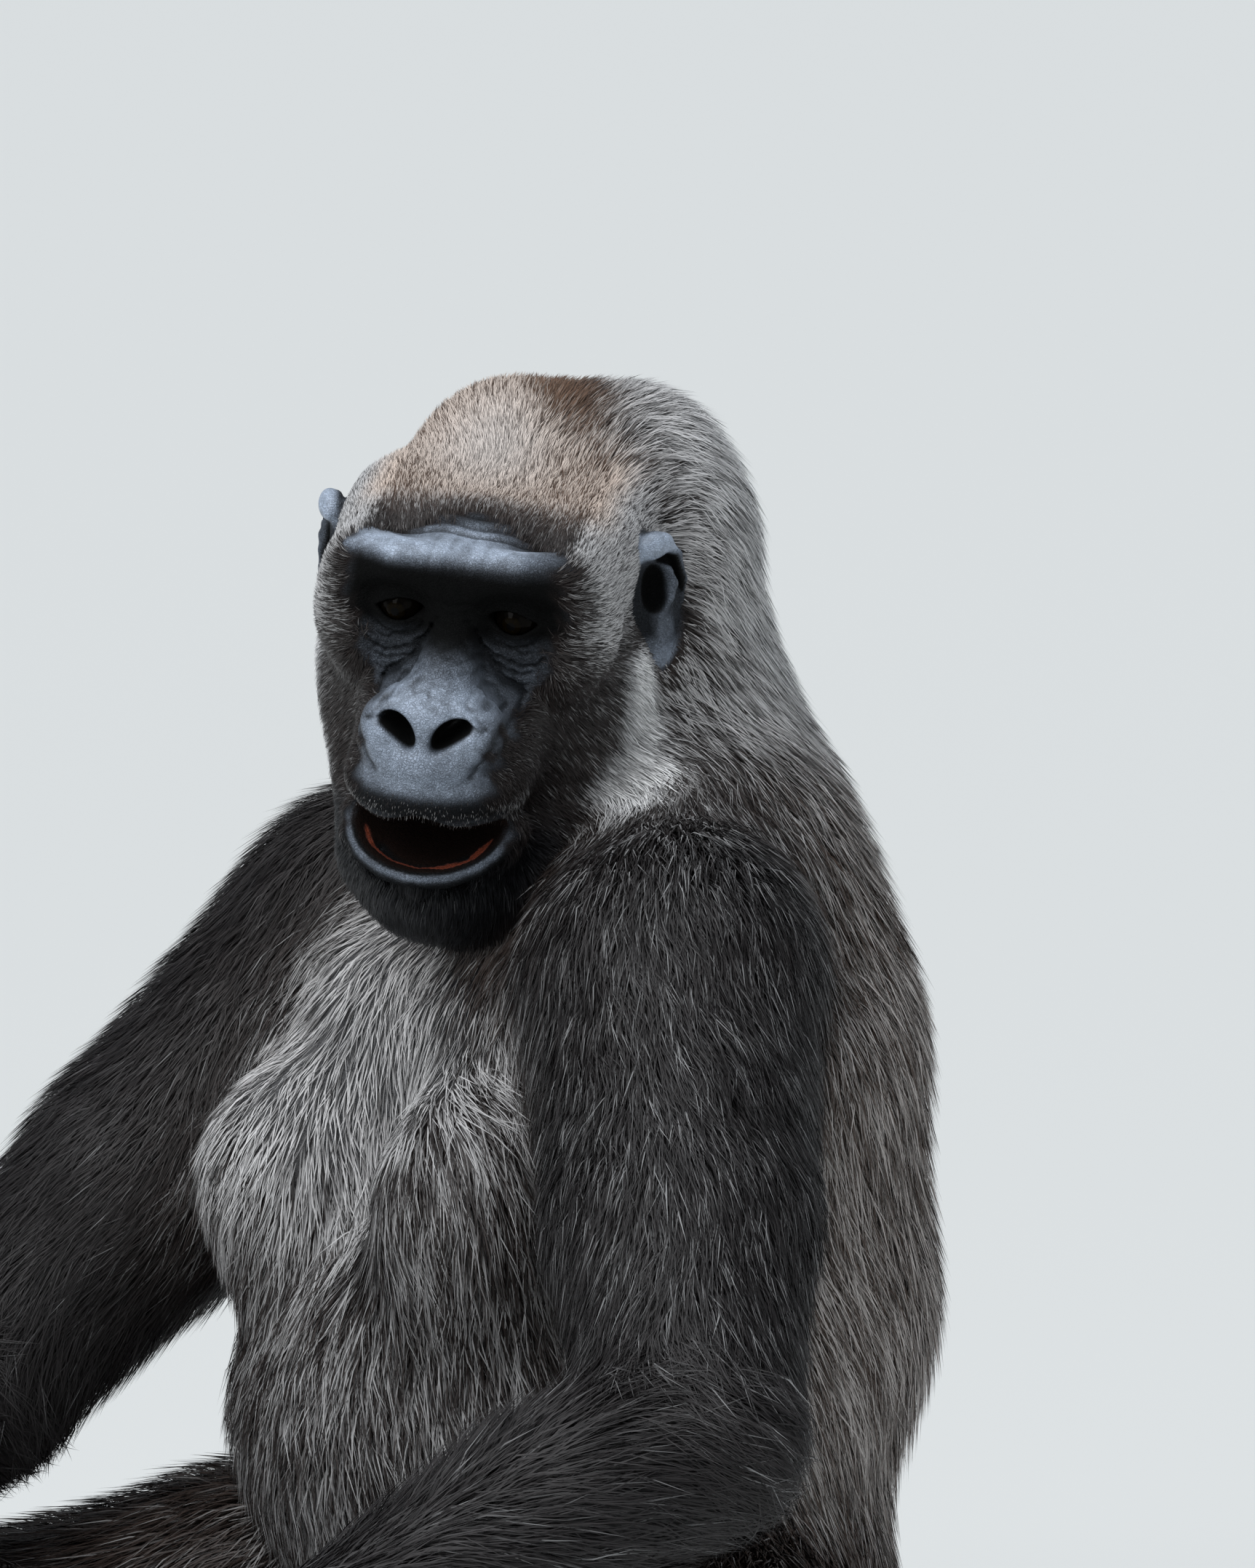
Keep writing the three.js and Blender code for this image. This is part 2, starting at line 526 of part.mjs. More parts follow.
function makeHead() {
  let made = headShape(0, { around: 48, ends: 14, crowd: 1.42 });
  const aside = (y) => NOSE_LEAN * smooth(-y, 94, 140);
  const bowl = ball([-aside(MOUTH.at[1]), MOUTH.at[1], MOUTH.at[2]], MOUTH.half, [0, 0, 0], 18, 10);
  const cutters = [place(bowl.trimByPlane([0, 0, -1], -MOUTH.roof))];
  for (const [side, s] of Object.entries(SIDES)) {
    const [nx, ny, nz] = NOSTRIL.at;
    const eye = [s * EYE.at[0], EYE.at[1], EYE.at[2]];
    cutters.push(place(ball([s * nx - aside(ny), ny, nz], NOSTRIL.half, [0, -s * NOSTRIL.turn, 0], 10, 8)));
    cutters.push(place(ball(eye, Array(3).fill(EYE.ball + GAP), [0, 0, 0], 12, 9)));
    cutters.push(place(ball([eye[0], eye[1] - 13, eye[2] - 0.5], [16.5, 10, 7], [0, s * -6, 0], 12, 6)));
    cutters.push(earLeaf(s, GAP));
    node("eye_" + side, place(ball(eye, Array(3).fill(EYE.ball), [0, 0, 0], 12, 9)), eyes);
  }
  for (const cutter of cutters) made = made.subtract(cutter);
  node("head", largest(made), skin);
}

/** The trunk's field with the roots of the limbs and the back of the head, under its coat. */
function trunkShape(x, y, z) {
  let d = join(trunk(x, y, z), max(headField(x, y, z), -beyond(NECK, x, y, z)), 22);
  for (const side of Object.keys(SIDES)) {
    const [j, cut] = [LIMBS[side], CUTS[side]];
    d = join(d, max(arm(x, y, z, j), beyond(cut.shoulder, x, y, z)), 26);
    d = join(d, max(leg(x, y, z, j), beyond(cut.hip, x, y, z)), 26);
  }
  return d - COAT.core * coat(x, y, z);
}

function makeTrunk() {
  const limbs = Object.values(CUTS).flatMap((cut) => [cut.shoulder, cut.hip]);
  const grow = (hair) => (core, field) => addLocks(core, field, hair);
  const cuts = [FLOOR, flip(NECK_FOOT), ...limbs];
  const torso = { around: 40, along: 13, ends: 5, cuts, locks: grow(BACK_HAIR) };
  const room = headShape(7, { around: 28, ends: 8, inset: -GAP / 2 }).add(earRoom(1)).add(earRoom(-1));
  node("torso", largest(wrap(trunkShape, [0, 5, 130], [0, 10, 440], torso).subtract(room)), hide);
  const neck = { around: 24, along: 3, ends: 5, cuts: [NECK_FOOT], locks: grow(NAPE_HAIR) };
  node("neck", largest(wrap(trunkShape, [0, 4, 560], [-2, 4, 612], neck).subtract(room)), hide);
}

function makeLimbs(side) {
  const [j, cut] = [LIMBS[side], CUTS[side]];
  const own = (part) => (x, y, z) => {
    const d = part(x, y, z, j);
    return -join(-join(trunk(x, y, z), d, 26), 8 - d, 8) - COAT.core * coat(x, y, z);
  };
  const size = { around: 16, along: 7, ends: 3 };
  const limb = (name, part, a, b, cuts, hair) => {
    const locks = (core, field) => addLocks(core, field, { from: a, to: b, ...hair });
    node(name + "_" + side, wrap(own(part), a, b, { ...size, cuts, locks }), hide);
  };
  const hair = limbHair(side);
  limb("upper_arm", arm, j.shoulder, j.elbow, [flip(cut.shoulder), cut.elbow], hair.upperArm);
  limb("forearm", arm, j.elbow, j.wrist, [flip(cut.elbow), cut.wrist], hair.forearm);
  limb("thigh", leg, j.hip, j.knee, [flip(cut.hip), cut.knee, FLOOR], hair.thigh);
  limb("lower_leg", leg, j.knee, j.ankle, [flip(cut.knee), cut.ankle, FLOOR], hair.lowerLeg);
}

/** A hand that rests on its knuckles, with the fingers curled under it. */
function makeHand(side) {
  const [j, cut] = [LIMBS[side], CUTS[side]];
  const ahead = new THREE.Vector3(j.knuckles[0] - j.wrist[0], j.knuckles[1] - j.wrist[1], 0).normalize();
  const across = [ahead.y, -ahead.x, 0];
  const step = (p, far, z) => [p[0] + ahead.x * far, p[1] + ahead.y * far, z];
  const field = (x, y, z) => palm(x, y, z, j) - COAT.hand;
  let made = wrap(field, j.wrist, j.knuckles, { around: 14, along: 3, ends: 3, cuts: [flip(cut.wrist)] });
  const row = knuckleRow(j, FINGER.spread, "knuckles");
  row.forEach((p, k) => {
    const reach = [28, 34, 34, 26][k];
    const out = [step(p, -6, p[2]), step(p, reach * 0.5, 44), step(p, reach, 15)];
    const under = [step(p, reach - 28, 11.5), step(p, reach - 40, 22)];
    made = made.add(tube([...out, ...under], FINGER.radius, { around: 5, rings: 6, up: across }));
  });
  const inner = row[3];
  const thumb = [step(j.wrist, 8, 80), step(inner, -26, 50), step(inner, -4, 30), step(inner, 12, 22)];
  thumb.slice(1).forEach((p) => { p[0] -= SIDES[side] * 14; });
  made = made.add(tube(thumb, [14, 11, 9, 6], { around: 5, rings: 4, up: across }));
  node("hand_" + side, largest(trim(made, FLOOR.point, FLOOR.normal, GAP / 2)), skin);
}

/** A foot flat on the ground, the big toe standing off to the inner side. */
function makeFoot(side) {
  const [j, cut, s] = [LIMBS[side], CUTS[side], SIDES[side]];
  const ahead = new THREE.Vector3(j.toes[0] - j.ankle[0], j.toes[1] - j.ankle[1], 0).normalize();
  const across = [ahead.y, -ahead.x, 0];
  const step = (p, far, z) => [p[0] + ahead.x * far, p[1] + ahead.y * far, z];
  const field = (x, y, z) => foot(x, y, z, j) - COAT.hand;
  const heel = [j.ankle[0], j.ankle[1] + 14, 32];
  let made = wrap(field, heel, j.toes, { around: 14, along: 5, ends: 3, cuts: [flip(cut.ankle), FLOOR] });
  knuckleRow(j, TOE.spread, "toes").forEach((p, k) => {
    const reach = TOE.length * [0.8, 0.95, 1, 1][k];
    const toe = [step(p, -8, 20), step(p, reach * 0.5, 19), step(p, reach, 10)];
    made = made.add(tube(toe, TOE.radius, { around: 5, rings: 3, up: across }));
  });
  const big = [[22, 30, 26], [40, 68, 21], [44, 106, 14]].map(([inner, front, z]) => [
    j.ankle[0] - s * inner, j.ankle[1] - front, z,
  ]);
  made = made.add(tube(big, [17, 15, 14, 10], { around: 6, rings: 4, up: across }));
  node("foot_" + side, largest(trim(made, FLOOR.point, FLOOR.normal, GAP / 2)), skin);
}

makeHead();
makeTrunk();
for (const side of Object.keys(SIDES)) {
  makeEar(side);
  makeLimbs(side);
  makeHand(side);
  makeFoot(side);
}

export default gorilla;
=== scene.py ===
"""A seated adult female western lowland gorilla, life size: skin, coat and eyes in a plain studio.

Shapes are worked out in millimetres as a distance field of named forms, and turned into metres when a
mesh is made. The body faces -Y, +Z is up and +X is the animal's own left.
"""

import json
import logging
import math
from dataclasses import dataclass, field
from enum import IntEnum
from functools import cache, partial
from typing import Callable, Iterable

import bpy
import numpy as np
import openvdb
from mathutils import Euler, Matrix, Vector

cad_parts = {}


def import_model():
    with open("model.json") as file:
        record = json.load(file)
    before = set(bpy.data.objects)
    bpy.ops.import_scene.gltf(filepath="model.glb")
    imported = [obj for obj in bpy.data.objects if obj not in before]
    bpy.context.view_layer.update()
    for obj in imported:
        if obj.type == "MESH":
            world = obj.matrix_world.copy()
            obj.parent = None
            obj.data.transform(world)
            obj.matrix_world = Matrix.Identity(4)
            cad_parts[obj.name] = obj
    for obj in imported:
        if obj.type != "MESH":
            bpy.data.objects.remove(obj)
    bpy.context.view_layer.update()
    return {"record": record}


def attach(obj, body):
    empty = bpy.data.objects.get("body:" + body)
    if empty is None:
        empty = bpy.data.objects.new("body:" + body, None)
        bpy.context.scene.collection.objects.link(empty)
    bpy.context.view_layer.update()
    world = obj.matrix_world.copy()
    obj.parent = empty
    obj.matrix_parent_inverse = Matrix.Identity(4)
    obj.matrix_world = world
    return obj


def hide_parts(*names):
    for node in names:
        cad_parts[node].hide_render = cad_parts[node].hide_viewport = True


log = logging.getLogger("gorilla")

MM = 0.001
Array = np.ndarray
Triple = tuple[float, float, float]
Distance = Callable[[Array], Array]
Form = tuple[float | Triple, ...]


# ---------------------------------------------------------------- distances
def join(a: Array, b: Array, k: float) -> Array:
    """Joins two distances with a fillet of about k."""
    h = np.maximum(k - np.abs(a - b), 0) / k
    return np.minimum(a, b) - h * h * (k / 4)


def carve(a: Array, b: Array, k: float) -> Array:
    """Takes b out of a with a fillet of about k."""
    return -join(-a, b, k)


def join_high(a: Array, b: Array, k: float) -> Array:
    """What lies in both a and b, with a rounding of about k."""
    return -join(-a, -b, k)


def lump(p: Array, centre: Triple, half: Triple) -> Array:
    """Distance to an ellipsoid.

    Args:
        p: Points, one row each.
        centre: Its middle.
        half: Its three half axes.

    Returns:
        A distance for each point.
    """
    q = (p - np.float32(centre)) / np.float32(half)
    k0 = np.sqrt((q * q).sum(1))
    q /= np.float32(half)
    return k0 * (k0 - 1) / np.maximum(np.sqrt((q * q).sum(1)), 1e-6)


def rod(p: Array, a: Triple, b: Triple, ra: float, rb: float) -> Array:
    """Distance to a rod that tapers from radius ra at a to rb at b.

    Args:
        p: Points, one row each.
        a: One end.
        b: The other end.
        ra: Radius at a.
        rb: Radius at b.

    Returns:
        A distance for each point.
    """
    start, run = np.float32(a), np.float32(b) - np.float32(a)
    t = np.clip((p - start) @ run / np.float32(run @ run), 0, 1)
    off = p - start - t[:, None] * run
    return np.sqrt((off * off).sum(1)) - (ra + (rb - ra) * t)


def pile(p: Array, forms: Iterable[Form], d: Array | None = None) -> Array:
    """Distance to forms that are joined one after another.

    Args:
        p: Points, one row each.
        forms: A fillet for each form, then a middle and half axes, or two ends and their radii.
        d: A distance to start from.

    Returns:
        A distance for each point.
    """
    for k, *sizes in forms:
        added = lump(p, *sizes) if len(sizes) == 2 else rod(p, *sizes)
        d = added if d is None else join(d, added, k)
    return d


def chain(p: Array, points: list[Triple], radii: list[float], k: float) -> Array:
    """Distance to rods in a row, joined with fillets of about k."""
    return pile(p, [(k, *step) for step in zip(points, points[1:], radii, radii[1:])])


def smooth(x: Array, low: float, high: float) -> Array:
    """Goes smoothly from 0 at low to 1 at high, which may lie below low."""
    t = np.clip((x - low) / (high - low), 0, 1)
    return t * t * (3 - 2 * t)


def mirrored(q: Array) -> Array:
    """Points folded over to the left half of a body that is alike on both sides."""
    return np.column_stack([np.abs(q[:, 0]), q[:, 1], q[:, 2]])


def unit(v: Array) -> Array:
    """Vectors brought to length one."""
    return v / np.maximum(np.linalg.norm(v, axis=-1, keepdims=True), 1e-9)


def reach_between(x: Array, a: float, b: float, c: float, d: float) -> Array:
    """Rises from a to b, stays at 1 and falls from c to d."""
    return smooth(x, a, b) * (1 - smooth(x, c, d))


def ripple(x: Array, at: Iterable[float], width: float) -> Array:
    """Soft grooves of one width at the places given, 1 at their bottom."""
    return sum(np.exp(-(((x - a) / width) ** 2)) for a in at)


def track_distance(u: Array, v: Array, track: tuple[tuple[float, float], ...]) -> Array:
    """Distance in a plane from points to a bent line."""
    best = np.full(len(u), np.float32(1e3))
    for (a, b), (c, d) in zip(track, track[1:]):
        run, rise = c - a, d - b
        t = np.clip(((u - a) * run + (v - b) * rise) / (run * run + rise * rise), 0, 1)
        best = np.minimum(best, np.hypot(u - a - t * run, v - b - t * rise))
    return best


# ---------------------------------------------------------------- the head
# Skull and jaw, one half of it: the fillet that joins each form, then the form.
SKULL: tuple[Form, ...] = (
    (0, (0, 20, 1), (70, 86, 46)),
    (24, (0, 78, 27), (45, 42, 38)),
    (14, (0, -42, 11), (63, 52, 41)),
    (20, (46, 6, 24), (30, 42, 22)),
    (22, (44, -18, -28), (27, 52, 62)),
    (12, (0, -52, 0), (62, 42, 42)),
    (14, (54, -48, 16), (16, 34, 27)),
    (14, (50, -58, -12), (18, 30, 22)),
    (24, (58, -8, -45), (30, -80, -120), 22, 22),
    (20, (0, -78, -120), (41, 59, 40)),
    (18, (0, -86, -56), (46, 62, 44)),
)
# The bar over the eyes, from its middle outward and down: two ends and their radii.
BROW: tuple[Form, ...] = (
    ((0, -90, 37), (30, -92, 40), 10.5, 11),
    ((30, -92, 40), (52, -80, 36), 11, 10),
    ((52, -80, 36), (57, -60, 0), 10, 10),
)
# Bridge, nose, its wings and base, upper lip, and the flesh behind the corner of the mouth.
MUZZLE: tuple[Form, ...] = (
    (9, (0, -86, 14), (0, -116, -18), 11, 17),
    (8, (0, -124, -30), (31, 24, 21)),
    (7, (22, -127, -35), (14, 20, 17)),
    (8, (0, -127, -47), (30, 26, 15)),
    (10, (0, -112, -66), (44, 38, 22)),
    (8, (30, -103, -98), (13, 20, 13)),
)
# Folds of the face: depth and half width, then places across and up in the head's frame.
CREASES: tuple[tuple[float, float, tuple[tuple[float, float], ...]], ...] = (
    (1.5, 1.5, ((16, 9), (20, 3.5), (26, -0.7), (34, -2.4), (42, -2.5), (48, 0))),
    (1.9, 1.7, ((11, 9), (15, 2), (21, -4), (27, -7.7), (33, -9.8), (40, -9), (47, -5))),
    (1.8, 1.7, ((7, 14.5), (10, 9), (15, 1), (20, -8), (27, -12.6), (33, -14.4), (39, -13.5))),
    (2.2, 1.8, ((9, 10), (14, 2.5), (19, -7), (24, -14), (29, -19), (35, -23))),
    (1.3, 1.4, ((7, 7), (12, 0.5), (17, -8), (20, -15.5), (25, -21), (30, -27))),
    (1.3, 1.3, ((24, -15), (26.5, -18.5), (33, -20.5), (39, -19))),
    (1.1, 1.3, ((31, -14), (35, -18.5))),
    (1.0, 1.3, ((41, -9), (45, -14))),
    (1.9, 2.0, ((27, -17), (33.5, -19.5), (36, -25), (35, -31), (32, -38), (29, -44), (24, -52))),
    (1.6, 1.1, ((23, -25), (31, -27))),
    (1.2, 1.7, ((36, -29), (41, -39), (44, -54), (43, -70))),
    (0.8, 1.4, ((38, -42), (39.5, -54))),
    (0.9, 1.2, ((0.5, -9), (0, -13.5))),
)
# The lower lip from its corner to its middle.
LIP: tuple[Triple, ...] = (
    (41, -108, -88), (37, -120, -96.5), (28.5, -131, -103), (15.5, -139, -107), (0, -142.5, -108.5),
)


@dataclass(frozen=True)
class Head:
    """Skull, face and ears in the head's own frame, whose origin lies between the ear canals."""

    skull_forms: tuple[Form, ...] = SKULL
    brow_rods: tuple[Form, ...] = BROW
    muzzle_forms: tuple[Form, ...] = MUZZLE
    bar_fillet: float = 25
    at: Triple = (12, -82, 624)
    pitch: float = 18
    roll: float = 7.2
    turn: float = 41
    eye: Triple = (29.5, -82, 14)
    ball: float = 11.5
    lid: float = 13.8
    ear: Triple = (83, 12, -6)
    ear_flare: tuple[float, float] = (40, 14)
    ear_lean: float = 8
    mouth: Triple = (0, -130, -82)
    mouth_half: Triple = (39, 40, 22.5)
    nostril: Triple = (12.5, -147, -28)
    nostril_half: Triple = (11.5, 22, 5.6)
    nostril_tilt: float = 36
    nose_lean: float = 3.5

    @property
    def matrix(self) -> Matrix:
        """The head's frame in the body's, in millimetres."""
        turns = Euler([math.radians(v) for v in (self.pitch, self.roll, self.turn)], "YXZ")
        return Matrix.Translation(self.at) @ turns.to_matrix().to_4x4()

    def local(self, p: Array) -> Array:
        """Points of the body's frame in the head's, with the muzzle's slight lean taken out."""
        m = np.float32(self.matrix.inverted())
        q = p @ m[:3, :3].T + m[:3, 3]
        q[:, 0] += self.nose_lean * smooth(-q[:, 1], 94, 140)
        return q

    def world(self, v: Array) -> Array:
        """Directions of the head's frame in the body's."""
        return v @ np.float32(self.matrix.to_3x3()).T

    def skull(self, q: Array) -> Array:
        """Skull and jaw, on points folded to one side."""
        return pile(q, self.skull_forms) - self.fullness(q)

    @staticmethod
    def fullness(q: Array) -> Array:
        """How much further out the scalp lies where the hair of the head is short."""
        return 5 * smooth(q[:, 1] - 0.35 * q[:, 2], -20, 70)

    def features(self, q: Array) -> Array:
        """Brow bar, sockets, lids, nose and lips over the skull."""
        bar = np.min([rod(q, *piece) for piece in self.brow_rods], axis=0)
        d = join(self.skull(q), bar, self.bar_fillet)
        d = carve(d, lump(q, (31, -113, 13), (23, 26, 16)), 10)
        d = join(d, np.linalg.norm(q - np.float32(self.eye), axis=1) - self.lid, 5)
        d = pile(q, self.muzzle_forms, d)
        return join(d, self.lip(q, (0, 0, 0), (5.5, 5.8, 6, 6.2, 6.2)), 9)

    @staticmethod
    def lip(q: Array, shift: Triple, radii: tuple[float, ...]) -> Array:
        """Distance to a bow along the lower lip, moved by a shift, on points folded to one side."""
        rows = [tuple(float(v) for v in np.add(at, shift)) for at in LIP]
        return np.min([rod(q, *step) for step in zip(rows, rows[1:], radii, radii[1:])], axis=0)

    def nostrils(self, q: Array) -> Array:
        """Distance to the nostrils, which slope down to the septum."""
        n = q - np.float32(self.nostril)
        tilt = math.radians(self.nostril_tilt)
        along = n[:, 0] * math.cos(tilt) + n[:, 2] * math.sin(tilt)
        over = n[:, 2] * math.cos(tilt) - n[:, 0] * math.sin(tilt) + 0.018 * along * along
        return lump(np.column_stack([along, n[:, 1], over]), (0, 0, 0), self.nostril_half)

    def opening(self, q: Array) -> Array:
        """Distance to the hollow of the open mouth: a bowl under an arched upper lip."""
        roof = 74 + 11 * (1 - np.exp(-((q[:, 0] / 17) ** 2)))
        return join_high(lump(q, self.mouth, self.mouth_half), q[:, 2] + roof, 4)

    def eye_gap(self, q: Array) -> Array:
        """How far outside the opening between the lids a folded point lies."""
        e = q - np.float32(self.eye)
        across = (e[:, 0] + 1.0) / 13
        middle = 0.4 - 0.10 * e[:, 0]
        bow = np.maximum(1 - across * across, -1.5)
        return np.maximum(e[:, 2] - middle - 5.6 * bow, middle - 6.2 * bow - e[:, 2])

    def ear_local(self, q: Array) -> Array:
        """Points in the frame of the nearer ear: x out of its plane, y back, z up."""
        m = mirrored(q) - np.float32(self.ear)
        lean = math.radians(self.ear_lean)
        turns = [Euler((lean, 0, math.radians(-flare)), "XYZ").to_matrix() for flare in self.ear_flare]
        return np.where(q[:, :1] > 0, *(m @ np.float32(turn) for turn in turns))

    @staticmethod
    def ear_hollows(e: Array) -> Array:
        """Distance to the bowl of an ear and to the groove inside its rim, in the ear's frame."""
        bowl = lump(e, (6, -2.5, 8), (9.5, 7.5, 13.5))
        groove = [(3.5, 3, 24), (3.5, 10.5, 20), (3.5, 14.6, 8), (4.5, 15.5, 0)]
        return np.minimum(bowl, chain(e, groove, [2.8, 3, 2.6, 1.6], 1))

    def ear_shape(self, q: Array) -> Array:
        """One ear: leaf, rolled rim with its knob, inner ridge, hollows and lobe."""
        e = self.ear_local(q)
        ridge = [
            (2.6, 4.5, 21), (3.2, 8, 15.5), (3.6, 9.5, 7), (3.2, 6.6, 0), (2.8, 0, -7), (2.4, -5.5, -14),
        ]
        rim = [(2.5, 7, 30.5), (2.5, 14, 21), (2, 17.2, 6), (0, 16.5, -6), (-1, 13, -17)]
        d = pile(e, ((0, (-1.5, 0, 4), (5, 18, 33)), (6, (-1, -3, -20), (5, 13, 17.5))))
        d = join(d, chain(e, ridge, [1.8, 2.5, 3, 3.2, 3.4, 3.2], 2), 2.5)
        d = pile(e, ((4, (1.5, 0, -19), (4, 9, 8.5)), (3, (1, -14.5, 6), (3.5, 4.5, 13))), d)
        d = carve(d, self.ear_hollows(e), 1.6)
        d = join(d, chain(e, rim, [3.6, 2.7, 2.5, 2.2, 1.6], 2), 1.8)
        return pile(e, ((3, (3, -1, 31), (5.8, 11.5, 6.8)), (5, (1.5, -4, -29.5), (5.5, 7.5, 7.5))), d)

    def creases(self, q: Array) -> Array:
        """Depth of the traced folds round the eyes and nose, in millimetres."""
        x, z = np.abs(q[:, 0]), q[:, 2]
        u = x + 0.7 * np.sin(z * 0.41 + q[:, 0] * 0.05) + 0.35 * np.sin(z * 1.1)
        v = z + 0.6 * np.sin(x * 0.37 + 1.0) + 0.35 * np.sin(q[:, 0] * 0.9 + 2.0)
        total = np.zeros(len(q), np.float32)
        for deep, wide, track in CREASES:
            near = track_distance(u, v, track)
            total += 0.6 * deep * np.exp(-((near / (0.7 * wide)) ** 2))
        bags = track_distance(u, v, CREASES[1][2])
        fine = np.cos(bags * 1.75) * smooth(x, 12, 22) * (1 - smooth(x, 46, 54))
        fine = fine * smooth(z, -26, -16) * (1 - smooth(z, 2, 8))
        spokes = np.arctan2(z - 30, x - 24)
        rays = 0.8 * np.cos(spokes * 46 + 0.1 * x) * smooth(x, 22, 32) * (1 - smooth(x, 50, 58))
        fine = fine + rays * smooth(z, -24, -14) * (1 - smooth(z, -6, 2))
        return (total + 0.26 * fine) * smooth(-q[:, 1], 66, 80)

    def wrinkles(self, q: Array) -> Array:
        """Depth of the folds of the face, in millimetres, on unfolded points."""
        x, y, z = q[:, 0], q[:, 1], q[:, 2]
        ax = np.abs(x)
        depth = np.zeros(len(q), np.float32)
        some = (y < -25) & (z > -125)
        x, y, z, ax = x[some], y[some], z[some], ax[some]
        front = smooth(-y, 60, 80)
        wave = 1.8 * np.sin(x * 0.085 + 0.7) + 0.9 * np.sin(x * 0.21 + 1.0) - 0.06 * ax
        lines = ripple(y + wave, (-67, -59, -49.5, -39), 1.9) * smooth(z, 34, 42) * (1 - smooth(ax, 34, 54))
        glabella = ripple(x + 0.8 * np.sin(z * 0.2), (-14, -5, 4, 13), 1.4)
        glabella *= smooth(z, 22, 32) * (1 - smooth(z, 49, 53)) * front
        between = ripple(z + 0.7 * np.cos(x * 0.5), (5, 9.5, 14, 18.5, 23), 1.2)
        between = between * (1 - smooth(ax, 7, 12)) * front
        ex, ez = ax - self.eye[0], z - self.eye[2]
        round_eye = np.hypot(ex * 0.9, ez * 1.05)
        above = ripple(round_eye, (14.4, 18.0), 1.3) * smooth(ez, 3, 8) * front
        below = ripple(round_eye, (14.6,), 1.2) * smooth(-ez, 2, 7) * front
        bridge = smooth(-y, 84, 100) * (1 - smooth(ax, 22, 34)) * smooth(z, -24, -14)
        bridge = bridge * (1 - smooth(z, 4, 12))
        rows = z + 0.03 * ax * ax + 1.1 * np.sin(x * 0.31) + 0.5 * np.sin(x * 0.9)
        hatch = ripple(rows % 4.6, (2.3,), 0.95)
        hatch = hatch + 0.6 * ripple((x + 0.45 * z + 1.3 * np.sin(z * 0.37)) % 8.3, (4.0,), 1.0)
        hatch *= 0.6 + 0.4 * np.sin(x * 0.21 + z * 0.33)
        lips = ripple((x + 0.3 * np.sin(z)) % 2.9, (1.45,), 0.75) * smooth(-z, 88, 96) * smooth(-y, 90, 108)
        depth[some] = 1.0 * lines + 0.35 * glabella + 0.9 * between + 0.9 * above + 1.0 * below \
            + 0.62 * hatch * bridge + 0.3 * lips + self.creases(q[some])
        return depth

    def shape(self, p: Array, fine: bool) -> Array:
        """The head's distance at points of the body's frame, with its openings if fine."""
        q = self.local(p)
        m = mirrored(q)
        d = self.features(m)
        if not fine:
            return d
        d = carve(d, self.nostrils(m), 3.5)
        d = carve(d, self.opening(m), 4)
        out = np.linalg.norm(m - np.float32(self.eye), axis=1)
        slit = np.maximum(self.eye_gap(m), (m[:, 1] - self.eye[1]) + 3)
        d = carve(d, slit, 1.6)
        d = np.maximum(d, self.ball + 0.25 - out)
        return d + self.wrinkles(q)


